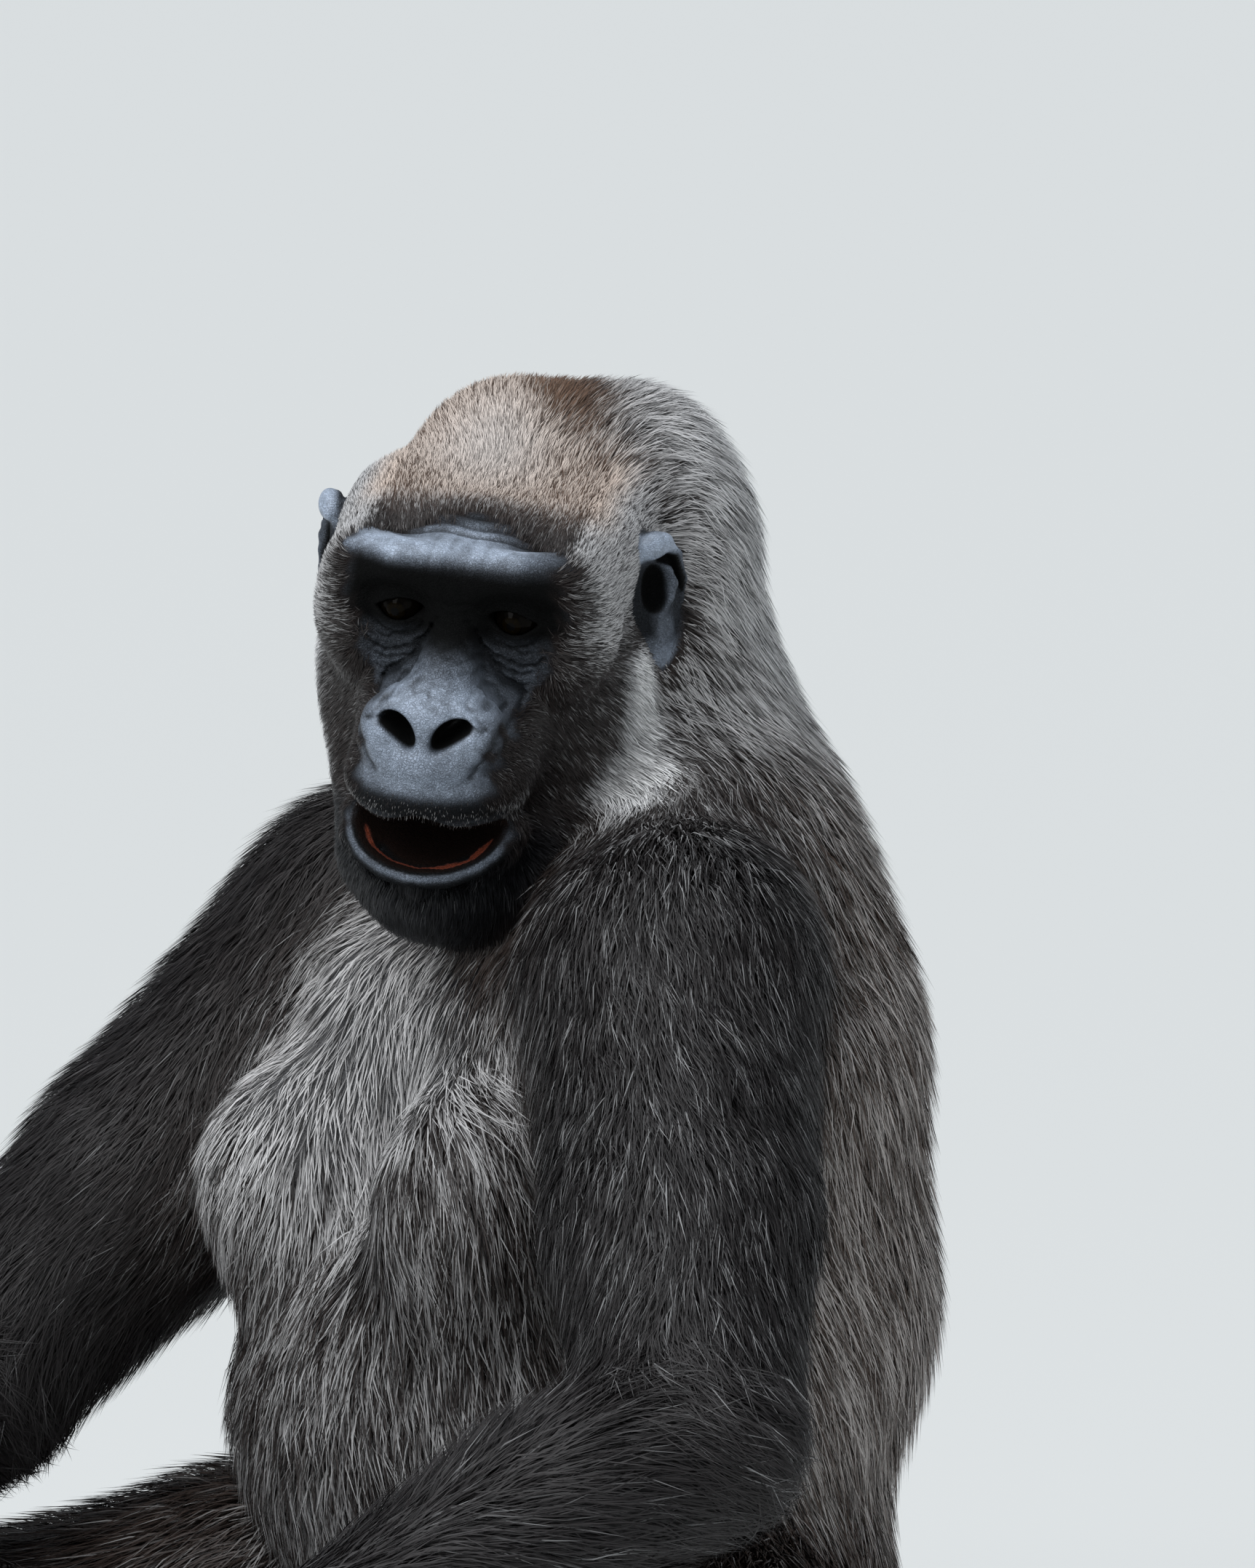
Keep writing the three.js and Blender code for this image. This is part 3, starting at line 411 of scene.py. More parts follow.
# ---------------------------------------------------------------- the trunk and limbs
@dataclass(frozen=True)
class Limb:
    """Joints and radii of one side's arm and leg."""

    side: int
    shoulder: Triple
    elbow: Triple
    wrist: Triple
    knuckles: Triple
    hip: Triple
    knee: Triple
    ankle: Triple
    toes: Triple
    arm_radii: tuple[float, ...] = (66, 58, 44, 42, 27)
    leg_radii: tuple[float, ...] = (76, 62, 44, 40, 28)
    finger_spread: float = 21
    toe_spread: float = 17

    @staticmethod
    def between(a: Triple, b: Triple, t: float) -> Triple:
        """The point a share t of the way from a to b."""
        return tuple(p + (q - p) * t for p, q in zip(a, b))

    def upper_arm(self, p: Array) -> Array:
        """Upper arm with the slope of the shoulder."""
        big, middle, elbow = self.arm_radii[:3]
        mid = self.between(self.shoulder, self.elbow, 0.55)
        d = rod(p, self.shoulder, mid, big, middle)
        d = join(d, rod(p, (self.side * 50, 6, 486), self.shoulder, 58, 56), 30)
        return join(d, rod(p, mid, self.elbow, middle, elbow), 12)

    def forearm(self, p: Array) -> Array:
        """Forearm down to the wrist."""
        elbow, fore, wrist = self.arm_radii[2:]
        belly = self.between(self.elbow, self.wrist, 0.32)
        return join(rod(p, self.elbow, belly, elbow, fore), rod(p, belly, self.wrist, fore, wrist), 14)

    def thigh(self, p: Array) -> Array:
        """Thigh down to the knee."""
        hip, middle, knee = self.leg_radii[:3]
        mid = self.between(self.hip, self.knee, 0.5)
        return join(rod(p, self.hip, mid, hip, middle), rod(p, mid, self.knee, middle, knee), 12)

    def shin(self, p: Array) -> Array:
        """Lower leg down to the ankle."""
        knee, calf, ankle = self.leg_radii[2:]
        low = self.between(self.knee, self.ankle, 0.35)
        return join(rod(p, self.knee, low, knee, calf), rod(p, low, self.ankle, calf, ankle), 14)

    def row(self, end: Triple, root: Triple, spread: float) -> list[Triple]:
        """Four joint centres in a row across the hand or foot, from the outer side to the inner."""
        ahead = self.ahead(end, root)
        places = []
        for k in (1.5, 0.5, -0.5, -1.5):
            out = self.side * k * spread
            places.append((end[0] - ahead[1] * out, end[1] + ahead[0] * out, end[2] - abs(k) * 1.5))
        return places

    @staticmethod
    def ahead(end: Triple, root: Triple) -> tuple[float, float]:
        """The level direction from a wrist or ankle to its knuckles or toes."""
        run = math.hypot(end[0] - root[0], end[1] - root[1])
        return (end[0] - root[0]) / run, (end[1] - root[1]) / run

    @staticmethod
    def path(at: Triple, ahead: tuple[float, float], stops: Iterable[tuple[float, float]]) -> list[Triple]:
        """Points that lie some way ahead of a place, each at a height of its own."""
        return [(at[0] + ahead[0] * far, at[1] + ahead[1] * far, z) for far, z in stops]

    def hand(self, p: Array) -> Array:
        """Palm and curled fingers that rest on their middle joints."""
        ahead = self.ahead(self.knuckles, self.wrist)
        row = self.row(self.knuckles, self.wrist, self.finger_spread)
        d = pile(p, [(8, self.wrist, end, 28, 16) for end in row])
        for at, reach in zip(row, (28, 34, 34, 26)):
            stops = ((-6, at[2]), (reach * 0.5, 44), (reach - 2, 17), (reach - 28, 12), (reach - 40, 21))
            bends = self.path(at, ahead, stops)
            finger = chain(p, bends, [13, 11.5, 11.5, 10, 8], 3)
            finger = join(finger, lump(p, (*bends[1][:2], 45), (11.5, 12, 11)), 3)
            d = join(d, finger, 5)
        thumb = self.path(row[3], ahead, ((-26, 50), (-4, 30), (12, 22)))
        thumb = [(x - self.side * 14, y, z) for x, y, z in thumb]
        return join(d, chain(p, self.path(self.wrist, ahead, ((8, 80),)) + thumb, [14, 11, 10, 7], 3), 6)

    def hand_near(self, p: Array) -> Array:
        """The hand's distance, worked out near the hand."""
        return within(p, self.between(self.wrist, self.knuckles, 0.6), 105, self.hand)

    def foot_near(self, p: Array) -> Array:
        """The foot's distance, worked out near the foot."""
        return within(p, self.between(self.ankle, self.toes, 0.5), 125, self.foot)

    def foot(self, p: Array) -> Array:
        """Heel, sole, toes and the big toe that stands off to the inner side."""
        heel = (self.ankle[0] * 0.94, self.ankle[1] + 26, 28)
        ahead = self.ahead(self.toes, self.ankle)
        row = self.row(self.toes, self.ankle, self.toe_spread)
        d = pile(p, [(0, self.ankle, heel, 30, 29), *((10, heel, end, 28, 18) for end in row),
                     (16, self.ankle, self.toes, 30, 18)])
        for at, share in zip(row, (0.8, 0.95, 1, 1)):
            bends = self.path(at, ahead, ((-8, 20), (25 * share, 19), (50 * share, 11)))
            d = join(d, chain(p, bends, [12, 10.5, 8.5], 3), 4)
        bends = ((22, 30, 26), (40, 68, 21), (44, 106, 14))
        big = [(self.ankle[0] - self.side * x, self.ankle[1] - y, z) for x, y, z in bends]
        return join(d, chain(p, big, [17, 15, 10.5], 3), 8)


@dataclass(frozen=True)
class Trunk:
    """Trunk from the rump to the nape: the fillet that joins each form, then the form."""

    body: tuple[Form, ...] = (
        (0, (0, 8, 106), (148, 122, 113)),
        (40, (0, 22, 255), (156, 136, 150)),
        (40, (0, -48, 205), (154, 138, 128)),
        (40, (0, 14, 380), (160, 134, 128)),
        (40, (0, 36, 468), (120, 76, 78)),
    )
    breasts: tuple[Form, ...] = ((30, (56, -84, 378), (62, 44, 60)), (44, (74, -140, 314), (46, 46, 56)))
    nape: tuple[Form, ...] = ((0, (0, 34, 500), (-8, 13, 618), 80, 62), (24, (-8, 18, 645), (58, 58, 67)))
    throat: tuple[Form, ...] = ((30, (4, -34, 500), (10, -62, 560), 56, 50),)

    def torso(self, p: Array) -> Array:
        """Rump, belly, rib cage, hump and breasts."""
        return pile(mirrored(p), self.breasts, pile(p, self.body))

    def neck(self, p: Array) -> Array:
        """Neck, the pad behind the head, and the throat."""
        return pile(p, self.nape + self.throat)


class Part(IntEnum):
    """The parts of the body, numbered as the rows of their distances."""

    HEAD = 0
    NECK = 1
    TORSO = 2
    ARM_LEFT = 3
    ARM_RIGHT = 4
    FOREARM_LEFT = 5
    FOREARM_RIGHT = 6
    HAND_LEFT = 7
    HAND_RIGHT = 8
    THIGH_LEFT = 9
    THIGH_RIGHT = 10
    SHIN_LEFT = 11
    SHIN_RIGHT = 12
    FOOT_LEFT = 13
    FOOT_RIGHT = 14


# The parts of each limb, from the trunk outward.
CHAINS: tuple[tuple[Part, ...], ...] = tuple(
    tuple(Part[f"{name}_{side}"] for name in names)
    for names in (("ARM", "FOREARM", "HAND"), ("THIGH", "SHIN", "FOOT")) for side in ("LEFT", "RIGHT")
)
LEFT = Limb(
    side=1, shoulder=(142, -68, 428), elbow=(292, -172, 218), wrist=(232, -416, 98),
    knuckles=(222, -476, 66), hip=(92, -5, 104), knee=(285, -185, 64), ankle=(80, -316, 52),
    toes=(102, -430, 24),
)
RIGHT = Limb(
    side=-1, shoulder=(-140, -36, 431), elbow=(-237, -226, 206), wrist=(-238, -480, 98),
    knuckles=(-234, -542, 66), hip=(-92, -5, 104), knee=(-285, -185, 64), ankle=(-80, -316, 52),
    toes=(-102, -430, 24),
)


def within(p: Array, centre: Triple, reach: float, shape: Distance, skirt: float = 40) -> Array:
    """A distance that is worked out only near a centre.

    Args:
        p: Points, one row each.
        centre: Middle of the form.
        reach: Radius round the centre that holds the whole form.
        shape: The form's distance.
        skirt: How far beyond the reach it is still worked out.

    Returns:
        The form's distance near the centre, and a lower bound of it elsewhere.
    """
    far = np.linalg.norm(p - np.float32(centre), axis=1) - reach
    near = far < skirt
    out = far.astype(np.float32)
    if near.any():
        out[near] = shape(p[near])
    return out


@dataclass(frozen=True)
class Flesh:
    """The whole body as one distance field."""

    head: Head = Head()
    trunk: Trunk = Trunk()
    limbs: tuple[Limb, Limb] = (LEFT, RIGHT)
    floor: float = 0.6
    neck_fillet: float = 34
    head_fillet: float = 22
    joint_fillet: float = 12
    limb_fillet: float = 26
    ear_fillet: float = 3
    head_middle: Triple = (0, -35, -45)
    head_reach: float = 175
    ear_reach: float = 120
    breast_middle: Triple = (-20, -150, 350)

    def parts(self, p: Array, fine: bool = False) -> Array:
        """Distances of all parts, one row for each Part.

        Args:
            p: Points in millimetres, one row each.
            fine: Whether the head has its openings and wrinkles.

        Returns:
            An array with a row for each Part.
        """
        rows = [self.head_near(p, fine), self.trunk.neck(p), self.trunk.torso(p)]
        for form in (Limb.upper_arm, Limb.forearm, Limb.hand_near, Limb.thigh, Limb.shin, Limb.foot_near):
            rows += [form(limb, p) for limb in self.limbs]
        return np.stack(rows)

    def head_near(self, p: Array, fine: bool) -> Array:
        """The head's distance, worked out near the head."""
        middle = tuple(np.float32(self.head.at) + self.head.world(np.float32(self.head_middle)))
        return within(p, middle, self.head_reach, lambda near: self.head.shape(near, fine))

    def ears(self, p: Array) -> Array:
        """Distance to the ears, worked out near the head."""
        shape = self.head.ear_shape
        return within(p, self.head.at, self.ear_reach, lambda near: shape(self.head.local(near)))

    def owners(self, p: Array) -> Array:
        """Distances of all parts, with the ears counted to the head."""
        parts = self.parts(p)
        parts[Part.HEAD] = np.minimum(parts[Part.HEAD], self.ears(p))
        return parts

    def whole(self, parts: Array) -> Array:
        """All parts joined as one body."""
        d = join(parts[Part.TORSO], parts[Part.NECK], self.neck_fillet)
        d = join(d, parts[Part.HEAD], self.head_fillet)
        k = self.joint_fillet
        limbs = [join(join(parts[a], parts[b], k), parts[c], k) for a, b, c in CHAINS]
        return np.min([join(d, limb, self.limb_fillet) for limb in limbs], axis=0)

    def shape(self, p: Array, fine: bool = False) -> Array:
        """The body's distance, cut flat where it rests on the ground, with its ears if fine."""
        d = self.whole(self.parts(p, fine))
        if fine:
            d = join(d, self.ears(p), self.ear_fillet)
        return np.maximum(d, self.floor - p[:, 2])

    def depth(self, p: Array) -> Array:
        """How deep the coat lies over the flesh."""
        ends = [end for limb in self.limbs for end in (limb.wrist, limb.ankle)]
        near = np.min([np.linalg.norm(p - np.float32(end), axis=1) for end in ends], axis=0)
        bare = 1 - smooth(np.linalg.norm(p - np.float32(self.breast_middle), axis=1), 95, 175)
        limb = 5 + 13 * smooth(near, 15, 130)
        q = self.head.local(p)
        on_head = 3 + 12 * smooth(q[:, 1] - 0.35 * q[:, 2], -20, 70)
        headed = 1 - smooth(np.linalg.norm(p - np.float32(self.head.at), axis=1), 150, 210)
        body = limb * (1 - bare) + 6 * bare
        return body * (1 - headed) + on_head * headed


# ---------------------------------------------------------------- meshes
@dataclass
class Mesh:
    """Points and faces on their way to Blender."""

    points: Array
    faces: Array

    def kept(self, faces: Array) -> "Mesh":
        """The mesh with only the faces given, and only the points that they use."""
        used, places = np.unique(faces, return_inverse=True)
        return Mesh(self.points[used], places.reshape(faces.shape))

    def normals(self) -> Array:
        """Smooth normals at the points."""
        a, b, c, d = (self.points[self.faces[:, k]] for k in (0, 1, 2, -1))
        flat = np.cross(c - a, d - b)
        out = np.zeros_like(self.points)
        for k in range(self.faces.shape[1]):
            np.add.at(out, self.faces[:, k], flat)
        return unit(out)


def build_object(name: str, mesh: Mesh, flat: bool = False) -> bpy.types.Object:
    """Makes a Blender object of a mesh in millimetres.

    Args:
        name: The object's name.
        mesh: Points in millimetres, and triangles or quads.
        flat: Whether the faces keep their edges instead of being shaded smooth.

    Returns:
        The object, linked to the scene.
    """
    made = bpy.data.meshes.new(name)
    sides = mesh.faces.shape[1]
    made.vertices.add(len(mesh.points))
    made.vertices.foreach_set("co", (mesh.points * MM).astype(np.float32).ravel())
    made.loops.add(mesh.faces.size)
    made.loops.foreach_set("vertex_index", mesh.faces.astype(np.int32).ravel())
    made.polygons.add(len(mesh.faces))
    made.polygons.foreach_set("loop_start", np.arange(0, mesh.faces.size, sides, dtype=np.int32))
    made.update(calc_edges=True)
    made.polygons.foreach_set("use_smooth", np.full(len(mesh.faces), not flat))
    piece = bpy.data.objects.new(name, made)
    bpy.context.scene.collection.objects.link(piece)
    return piece


def put_masks(piece: bpy.types.Object, name: str, values: Array) -> None:
    """Stores up to four masks for each point of a piece under a name."""
    layer = piece.data.attributes.new(name, "FLOAT_COLOR", "POINT")
    four = np.ones((len(values), 4), np.float32)
    four[:, :values.shape[1]] = values
    layer.data.foreach_set("color", four.ravel())


def put_vectors(piece: bpy.types.Object, name: str, values: Array) -> None:
    """Stores a vector for each point of a piece under a name."""
    layer = piece.data.attributes.new(name, "FLOAT_VECTOR", "POINT")
    layer.data.foreach_set("vector", values.astype(np.float32).ravel())


def put_map(piece: bpy.types.Object, name: str, places: Array) -> None:
    """Gives a piece a UV map with a place for each corner of its faces."""
    layer = piece.data.uv_layers.new(name=name)
    layer.data.foreach_set("uv", places.astype(np.float32).ravel())


@dataclass(frozen=True)
class Mesher:
    """Turns a distance field into quads inside a box, working only near the surface."""

    low: Triple
    high: Triple
    step: float
    block: int = 8
    batch: int = 1500
    far: float = 60.0

    def mesh(self, shape: Distance, outside: Distance | None = None) -> Mesh:
        """The surface of a field.

        Args:
            shape: The field, in millimetres.
            outside: How far a point lies outside the stretch that is wanted, if not all of it is.

        Returns:
            A mesh whose faces look outward.
        """
        low, size = np.float32(self.low), self.block * self.step
        blocks = np.ceil((np.float32(self.high) - low) / size).astype(int)
        cells = np.stack(np.meshgrid(*(np.arange(n) for n in blocks), indexing="ij"), -1).reshape(-1, 3)
        centres = (low + (cells + 0.5) * size).astype(np.float32)
        middles = shape(centres)
        values = np.where(middles > 0, self.far, -self.far).reshape(blocks).astype(np.float32)
        for axis in range(3):
            values = np.repeat(values, self.block, axis)
        wanted = np.abs(middles) < size * 1.15 + 4
        if outside is not None:
            wanted &= outside(centres) < size * 1.2
        near = cells[wanted]
        offsets = np.stack(np.meshgrid(*[np.arange(self.block)] * 3, indexing="ij"), -1).reshape(-1, 3)
        for start in range(0, len(near), self.batch):
            spots = (near[start:start + self.batch, None] * self.block + offsets).reshape(-1, 3)
            values[tuple(spots.T)] = shape((low + spots * self.step).astype(np.float32))
        grid = openvdb.FloatGrid(self.far)
        grid.copyFromArray(values)
        points, quads = grid.convertToQuads(isovalue=0.0)
        made = Mesh(points * self.step + low, quads.astype(np.int64))
        if self.volume(made) < 0:
            made = Mesh(made.points, made.faces[:, ::-1])
        if outside is None:
            return made
        middles = made.points[made.faces].mean(1).astype(np.float32)
        return made.kept(made.faces[outside(middles) < 0])

    @staticmethod
    def volume(mesh: Mesh) -> float:
        """Signed volume of a closed mesh of quads, which is positive when its faces look outward."""
        a, b, c, d = (mesh.points[mesh.faces[:, k]].astype(np.float64) for k in range(4))
        return float(((a * np.cross(b, c)).sum() + (a * np.cross(c, d)).sum()) / 6)


# ---------------------------------------------------------------- markings
@dataclass(frozen=True)
class Growth:
    """How the coat grows on one part: sizes in millimetres, tufts to the square centimetre."""

    lie: Triple
    length: float
    width: float
    density: float
    brown: float
    pale: float


def growths(flesh: Flesh) -> dict[Part, Growth]:
    """The coat of every part.

    Args:
        flesh: The body, for the run of its limbs.

    Returns:
        One Growth for each Part.
    """
    def run(a: Triple, b: Triple, drop: float) -> Triple:
        """The direction from a to b, bent down by a drop."""
        v = unit(np.float32(b) - np.float32(a))
        return tuple(float(c) for c in unit(v + np.float32((0, 0, -drop))))

    back = tuple(flesh.head.world(np.float32((0, 0.9, -0.35))))
    table = {
        Part.HEAD: Growth(back, 12, 0.44, 135, 0.3, 0.35),
        Part.NECK: Growth((0, 0.30, -0.95), 31, 0.66, 54, 0.06, 0.86),
        Part.TORSO: Growth((0, 0.12, -0.99), 40, 0.78, 25, 0.42, 0.56),
    }
    for limb, side in zip(flesh.limbs, ("LEFT", "RIGHT")):
        coats = {
            "ARM": Growth(run(limb.shoulder, limb.elbow, 0.35), 33, 0.62, 40, 0.05, 0.13),
            "FOREARM": Growth(run(limb.wrist, limb.elbow, 0.6), 42, 0.9, 24, 0.05, 0.06),
            "HAND": Growth(run(limb.wrist, limb.knuckles, 0.2), 11, 0.6, 30, 0.05, 0.0),
            "THIGH": Growth(run(limb.hip, limb.knee, 0.5), 35, 1.0, 16, 0.2, 0.2),
            "SHIN": Growth(run(limb.knee, limb.ankle, 0.4), 28, 0.9, 17, 0.1, 0.08),
            "FOOT": Growth(run(limb.ankle, limb.toes, 0.1), 8, 0.6, 20, 0.05, 0.0),
        }
        table.update({Part[f"{name}_{side}"]: coat for name, coat in coats.items()})
    return table


def blended(shares: Array, table: dict[Part, Growth], trait: str) -> Array:
    """A trait of the coat, blended over the parts by their shares."""
    return sum(shares[part] * getattr(table[part], trait) for part in Part)


@dataclass(frozen=True)
class Patch:
    """A soft-edged box of the head: from 0 to 1, or from 0 to 1 and back, along each axis."""

    x: tuple[float, ...] = ()
    y: tuple[float, ...] = ()
    z: tuple[float, ...] = ()

    def mask(self, q: Array) -> Array:
        """How far places in the head's frame lie inside, alike on both sides."""
        share = np.ones(len(q), np.float32)
        for axis, edges in enumerate((self.x, self.y, self.z)):
            at = np.abs(q[:, axis]) if axis == 0 else q[:, axis]
            for low, high, side in zip(edges[::2], edges[1::2], (1, -1)):
                share = share * (smooth(at, low, high) if side > 0 else 1 - smooth(at, low, high))
        return share


@dataclass(frozen=True)
class Markings:
    """The colours, the painted light and shade, and the bare places of the body, as masks from 0 to 1."""

    flesh: Flesh
    blend: float = 14
    chest_middle: Triple = (-20, -125, 400)
    # Middle of a painted shade under the jaw, where the neck's hair is also black.
    throat: Triple = (66, -112, 448)
    face_heights: tuple[float, ...] = (-116, -104, -90, -68, -53, -36, -22, -5, 14, 34, 50)
    face_reach: tuple[float, ...] = (14, 36, 41, 36, 33, 35, 41, 48, 54, 57, 56)
    ruff_heights: tuple[float, ...] = (-100, -78, -58, -32)
    ruff_line: tuple[float, ...] = (-66, -45, -24, -17)
    crown: Patch = Patch(x=(70, 52), y=(-60, -14, 84, 112), z=(24, 42))
    temple: Patch = Patch(x=(46, 58), y=(-98, -74, 30, 60), z=(-26, 10))
    cheek: Patch = Patch(x=(40, 58), y=(-70, -30), z=(-110, -70, -30, 0))
    moustache: Patch = Patch(y=(-96, -112), z=(-84, -76, -70, -62))
    lip_edge: Patch = Patch(y=(-90, -110), z=(-78, -72, -66, -58))
    # Painted sheen over the blue-grey skin of the nose pad, bridge and pouches; painted shade in the
    # sockets and under the jaw.
    nose_pad: Patch = Patch(x=(38, 27), y=(-96, -128), z=(-68, -56, -16, 4))
    bridge: Patch = Patch(x=(34, 18), y=(-88, -106), z=(-30, -14, 0, 12))
    pouch: Patch = Patch(x=(8, 16, 42, 52), y=(-66, -80), z=(-44, -36, -14, -6))
    socket: Patch = Patch(x=(62, 50), y=(-62, -76), z=(-3, 9, 38, 48))
    under_chin_shade: Patch = Patch(y=(-20, -60), z=(-112, -118))

    def shares(self, parts: Array) -> Array:
        """How much each part rules at each point, one row for each Part, adding up to 1."""
        w = np.exp(-(parts - parts.min(0)) / self.blend)
        return w / w.sum(0)

    def masks(self, p: Array, parts: Array) -> Array:
        """Brown, pale and bare at points of the body, where a pale above 1 is white.

        Args:
            p: Points in millimetres.
            parts: Distances of the parts at these points.

        Returns:
            One row of three masks for each point.
        """
        shares, table = self.shares(parts), growths(self.flesh)
        brown, pale = blended(shares, table, "brown"), blended(shares, table, "pale")
        q = self.flesh.head.local(p)
        on_head = smooth(shares[Part.HEAD], 0.3, 0.8)
        head_brown, head_pale = self.head_tones(q)
        brown = brown * (1 - on_head) + on_head * head_brown
        pale = pale * (1 - on_head) + on_head * head_pale
        ruff = self.ruff(q)
        pale = np.clip(pale + 0.4 * self.moustache.mask(q) * on_head, 0, 1) + 1.4 * ruff
        # The left arm's coat is paler and the right arm's darker; the top of the left shoulder is paler
        # still, a painted highlight where its hair catches the light.
        top = smooth(p[:, 2] + 0.5 * p[:, 1], 390, 500)
        pale = pale + shares[Part.ARM_LEFT] * (0.10 + 0.05 * top) - 0.11 * shares[Part.ARM_RIGHT]
        trunk = np.clip(shares[Part.TORSO] + 0.6 * shares[Part.NECK], 0, 1)
        front = smooth(-p[:, 1], 20, 100) * trunk
        brown *= 1 - 0.7 * front
        pale = pale * (1 - front) + np.clip(0.45 + 0.5 * self.chest(p), 0, 1) * front
        # Painted shade: the coat below the jaw loses its pale tufts, partly for the neck's black hair and
        # partly for deep shadow.
        throat = np.exp(-(np.linalg.norm(p - np.float32(self.throat), axis=1) / 46) ** 2)
        pale *= 1 - 0.9 * throat * (1 - shares[Part.ARM_LEFT])
        return np.column_stack([brown * (1 - ruff), np.clip(pale, 0, 1.5), self.bare(p, q, shares)])

    def head_tones(self, q: Array) -> tuple[Array, Array]:
        """Brown and pale of the hair of the head, at places in its frame."""
        x, y, z = q.T
        # The top of the head is paler and less brown: partly its own grey hair, partly a painted sheen
        # where light falls from above.
        grey_dome_and_sheen = smooth(z, 30, 46) * np.exp(-((x + 8) / 34) ** 2 - ((y - 34) / 40) ** 2)
        bump = np.exp(-((x - 26) / 26) ** 2 - ((y - 84) / 30) ** 2 - ((z - 52) / 40) ** 2)
        crown, temple, cheek = (patch.mask(q) for patch in (self.crown, self.temple, self.cheek))
        rear = smooth(y, 0, 55) * smooth(-x, 0, 36)
        brown = 0.10 * (1 - smooth(-z, 88, 104)) + 0.85 * crown * (1 - 0.5 * smooth(-y, 12, 46))
        brown = brown - 0.45 * grey_dome_and_sheen + 0.3 * bump
        pale = 0.10 + 0.46 * crown + 0.5 * grey_dome_and_sheen + 0.72 * temple * (1 - 0.5 * crown) + 0.16 * cheek
        pale = pale - 0.75 * bump - 0.1 * smooth(-z, 96, 112) + 0.5 * rear * (1 - crown)
        return np.clip(brown, 0, 1), np.clip(pale, 0, 1)

    def ruff(self, q: Array) -> Array:
        """The whitish streak below each ear, at places in the head's frame."""
        x, y, z = np.abs(q[:, 0]), q[:, 1], q[:, 2]
        off = y - np.interp(z, self.ruff_heights, self.ruff_line)
        streak = 1.8 * np.exp(-(off / 10) ** 2) * smooth(z, -96, -72) * (1 - smooth(z, -34, -20))
        return np.clip(streak * reach_between(x, 50, 64, 90, 102), 0, 1)

    def chest(self, p: Array) -> Array:
        """The thinly haired grey chest."""
        off = (p - np.float32(self.chest_middle)) / np.float32((1.2, 1, 1))
        return 1 - smooth(np.linalg.norm(off, axis=1), 50, 130)

    def bare(self, p: Array, q: Array, shares: Array) -> Array:
        """How bare the skin is: face, ears, breast, palms, soles, fingers and toes."""
        x, y, z = np.abs(q[:, 0]), q[:, 1], q[:, 2]
        head = smooth(shares[Part.HEAD], 0.4, 0.8)
        reach = np.interp(z, self.face_heights, self.face_reach) - x
        reach -= 5 * smooth(q[:, 0], 20, 45) * smooth(z, 10, 30)
        uneven = 2.5 * np.sin(y * 0.31 + z * 0.22) + 2 * np.sin(z * 0.53 + x * 0.4)
        uneven = uneven + 1.5 * np.sin(x * 0.7 - y * 0.5)
        high = smooth(z, 33, 43)
        front = (1 - high) * smooth(-y, 52, 70) + high * smooth(-y - 0.6 * x + uneven, 34, 56)
        low = smooth(z + uneven, -117, -109)
        face = smooth(reach + uneven, -7, 6) * front * low
        ear = 1 - smooth(self.flesh.head.ear_shape(q), 1.0, 4)
        hands = shares[Part.HAND_LEFT] + shares[Part.HAND_RIGHT]
        feet = shares[Part.FOOT_LEFT] + shares[Part.FOOT_RIGHT]
        ends = hands * np.maximum(1 - smooth(p[:, 2], 34, 62), 0.25) + feet * (1 - smooth(p[:, 2], 26, 40))
        return np.clip(np.maximum(head * face, ear) + 0.55 * self.chest(p) * (1 - head) + ends, 0, 1)

    def face(self, q: Array) -> Array:
        """Mouth lining, inner lip, painted shade in the folds, painted highlights, and painted shade with
        the dark skin of the upper lip, in the head's frame.

        Args:
            q: Places in the head's frame.

        Returns:
            One row of five masks for each place.
        """
        x, y, z = np.abs(q[:, 0]), q[:, 1], q[:, 2]
        head = self.flesh.head
        hollow, lip, rim, lip_shade = self.mouth(q)
        # Folds: where the skin is darkened as painted shade in the creases.
        folds = np.clip(head.wrinkles(q) / 1.15, 0, 1)
        # Painted highlights: along the top of the bar over the eyes, and a painted sheen on the nose pad,
        # bridge, lip rim and the pouches under the eyes.
        brow_highlight = smooth(z - 0.06 * q[:, 0], 41, 51) * smooth(-y, 52, 72) * (1 - 0.5 * smooth(q[:, 0], 30, 52))
        light = brow_highlight + 0.66 * self.nose_pad.mask(q) + 0.08 * self.bridge.mask(q) + 0.34 * rim
        light = np.clip(light + 0.10 * self.pouch.mask(q), 0, 1)
        # Painted shade in the sockets over their own dark skin, in the nostrils, round the lower lip and
        # under the jaw; the upper lip's edge is its own dark skin, and the sides of the face are darker.
        side = smooth(x - 0.10 * z, 44, 60) * smooth(-y, 40, 60) * (1 - smooth(z, 14, 34))
        nostril_shade = smooth(-head.nostrils(mirrored(q)), -1.6, -0.2) * smooth(y, -150, -142)
        dark = self.socket.mask(q) + 0.45 * side + 0.8 * self.lip_edge.mask(q) + self.under_chin_shade.mask(q)
        dark = np.clip(dark + lip_shade + nostril_shade, 0, 1)
        ears, ear_highlight, ear_shade = self.ears(q)
        light = np.clip(light * (1 - ears) + ears * ear_highlight, 0, 1)
        dark = np.clip(dark + ears * ear_shade, 0, 1)
        return np.column_stack([hollow, lip, folds, light, dark])

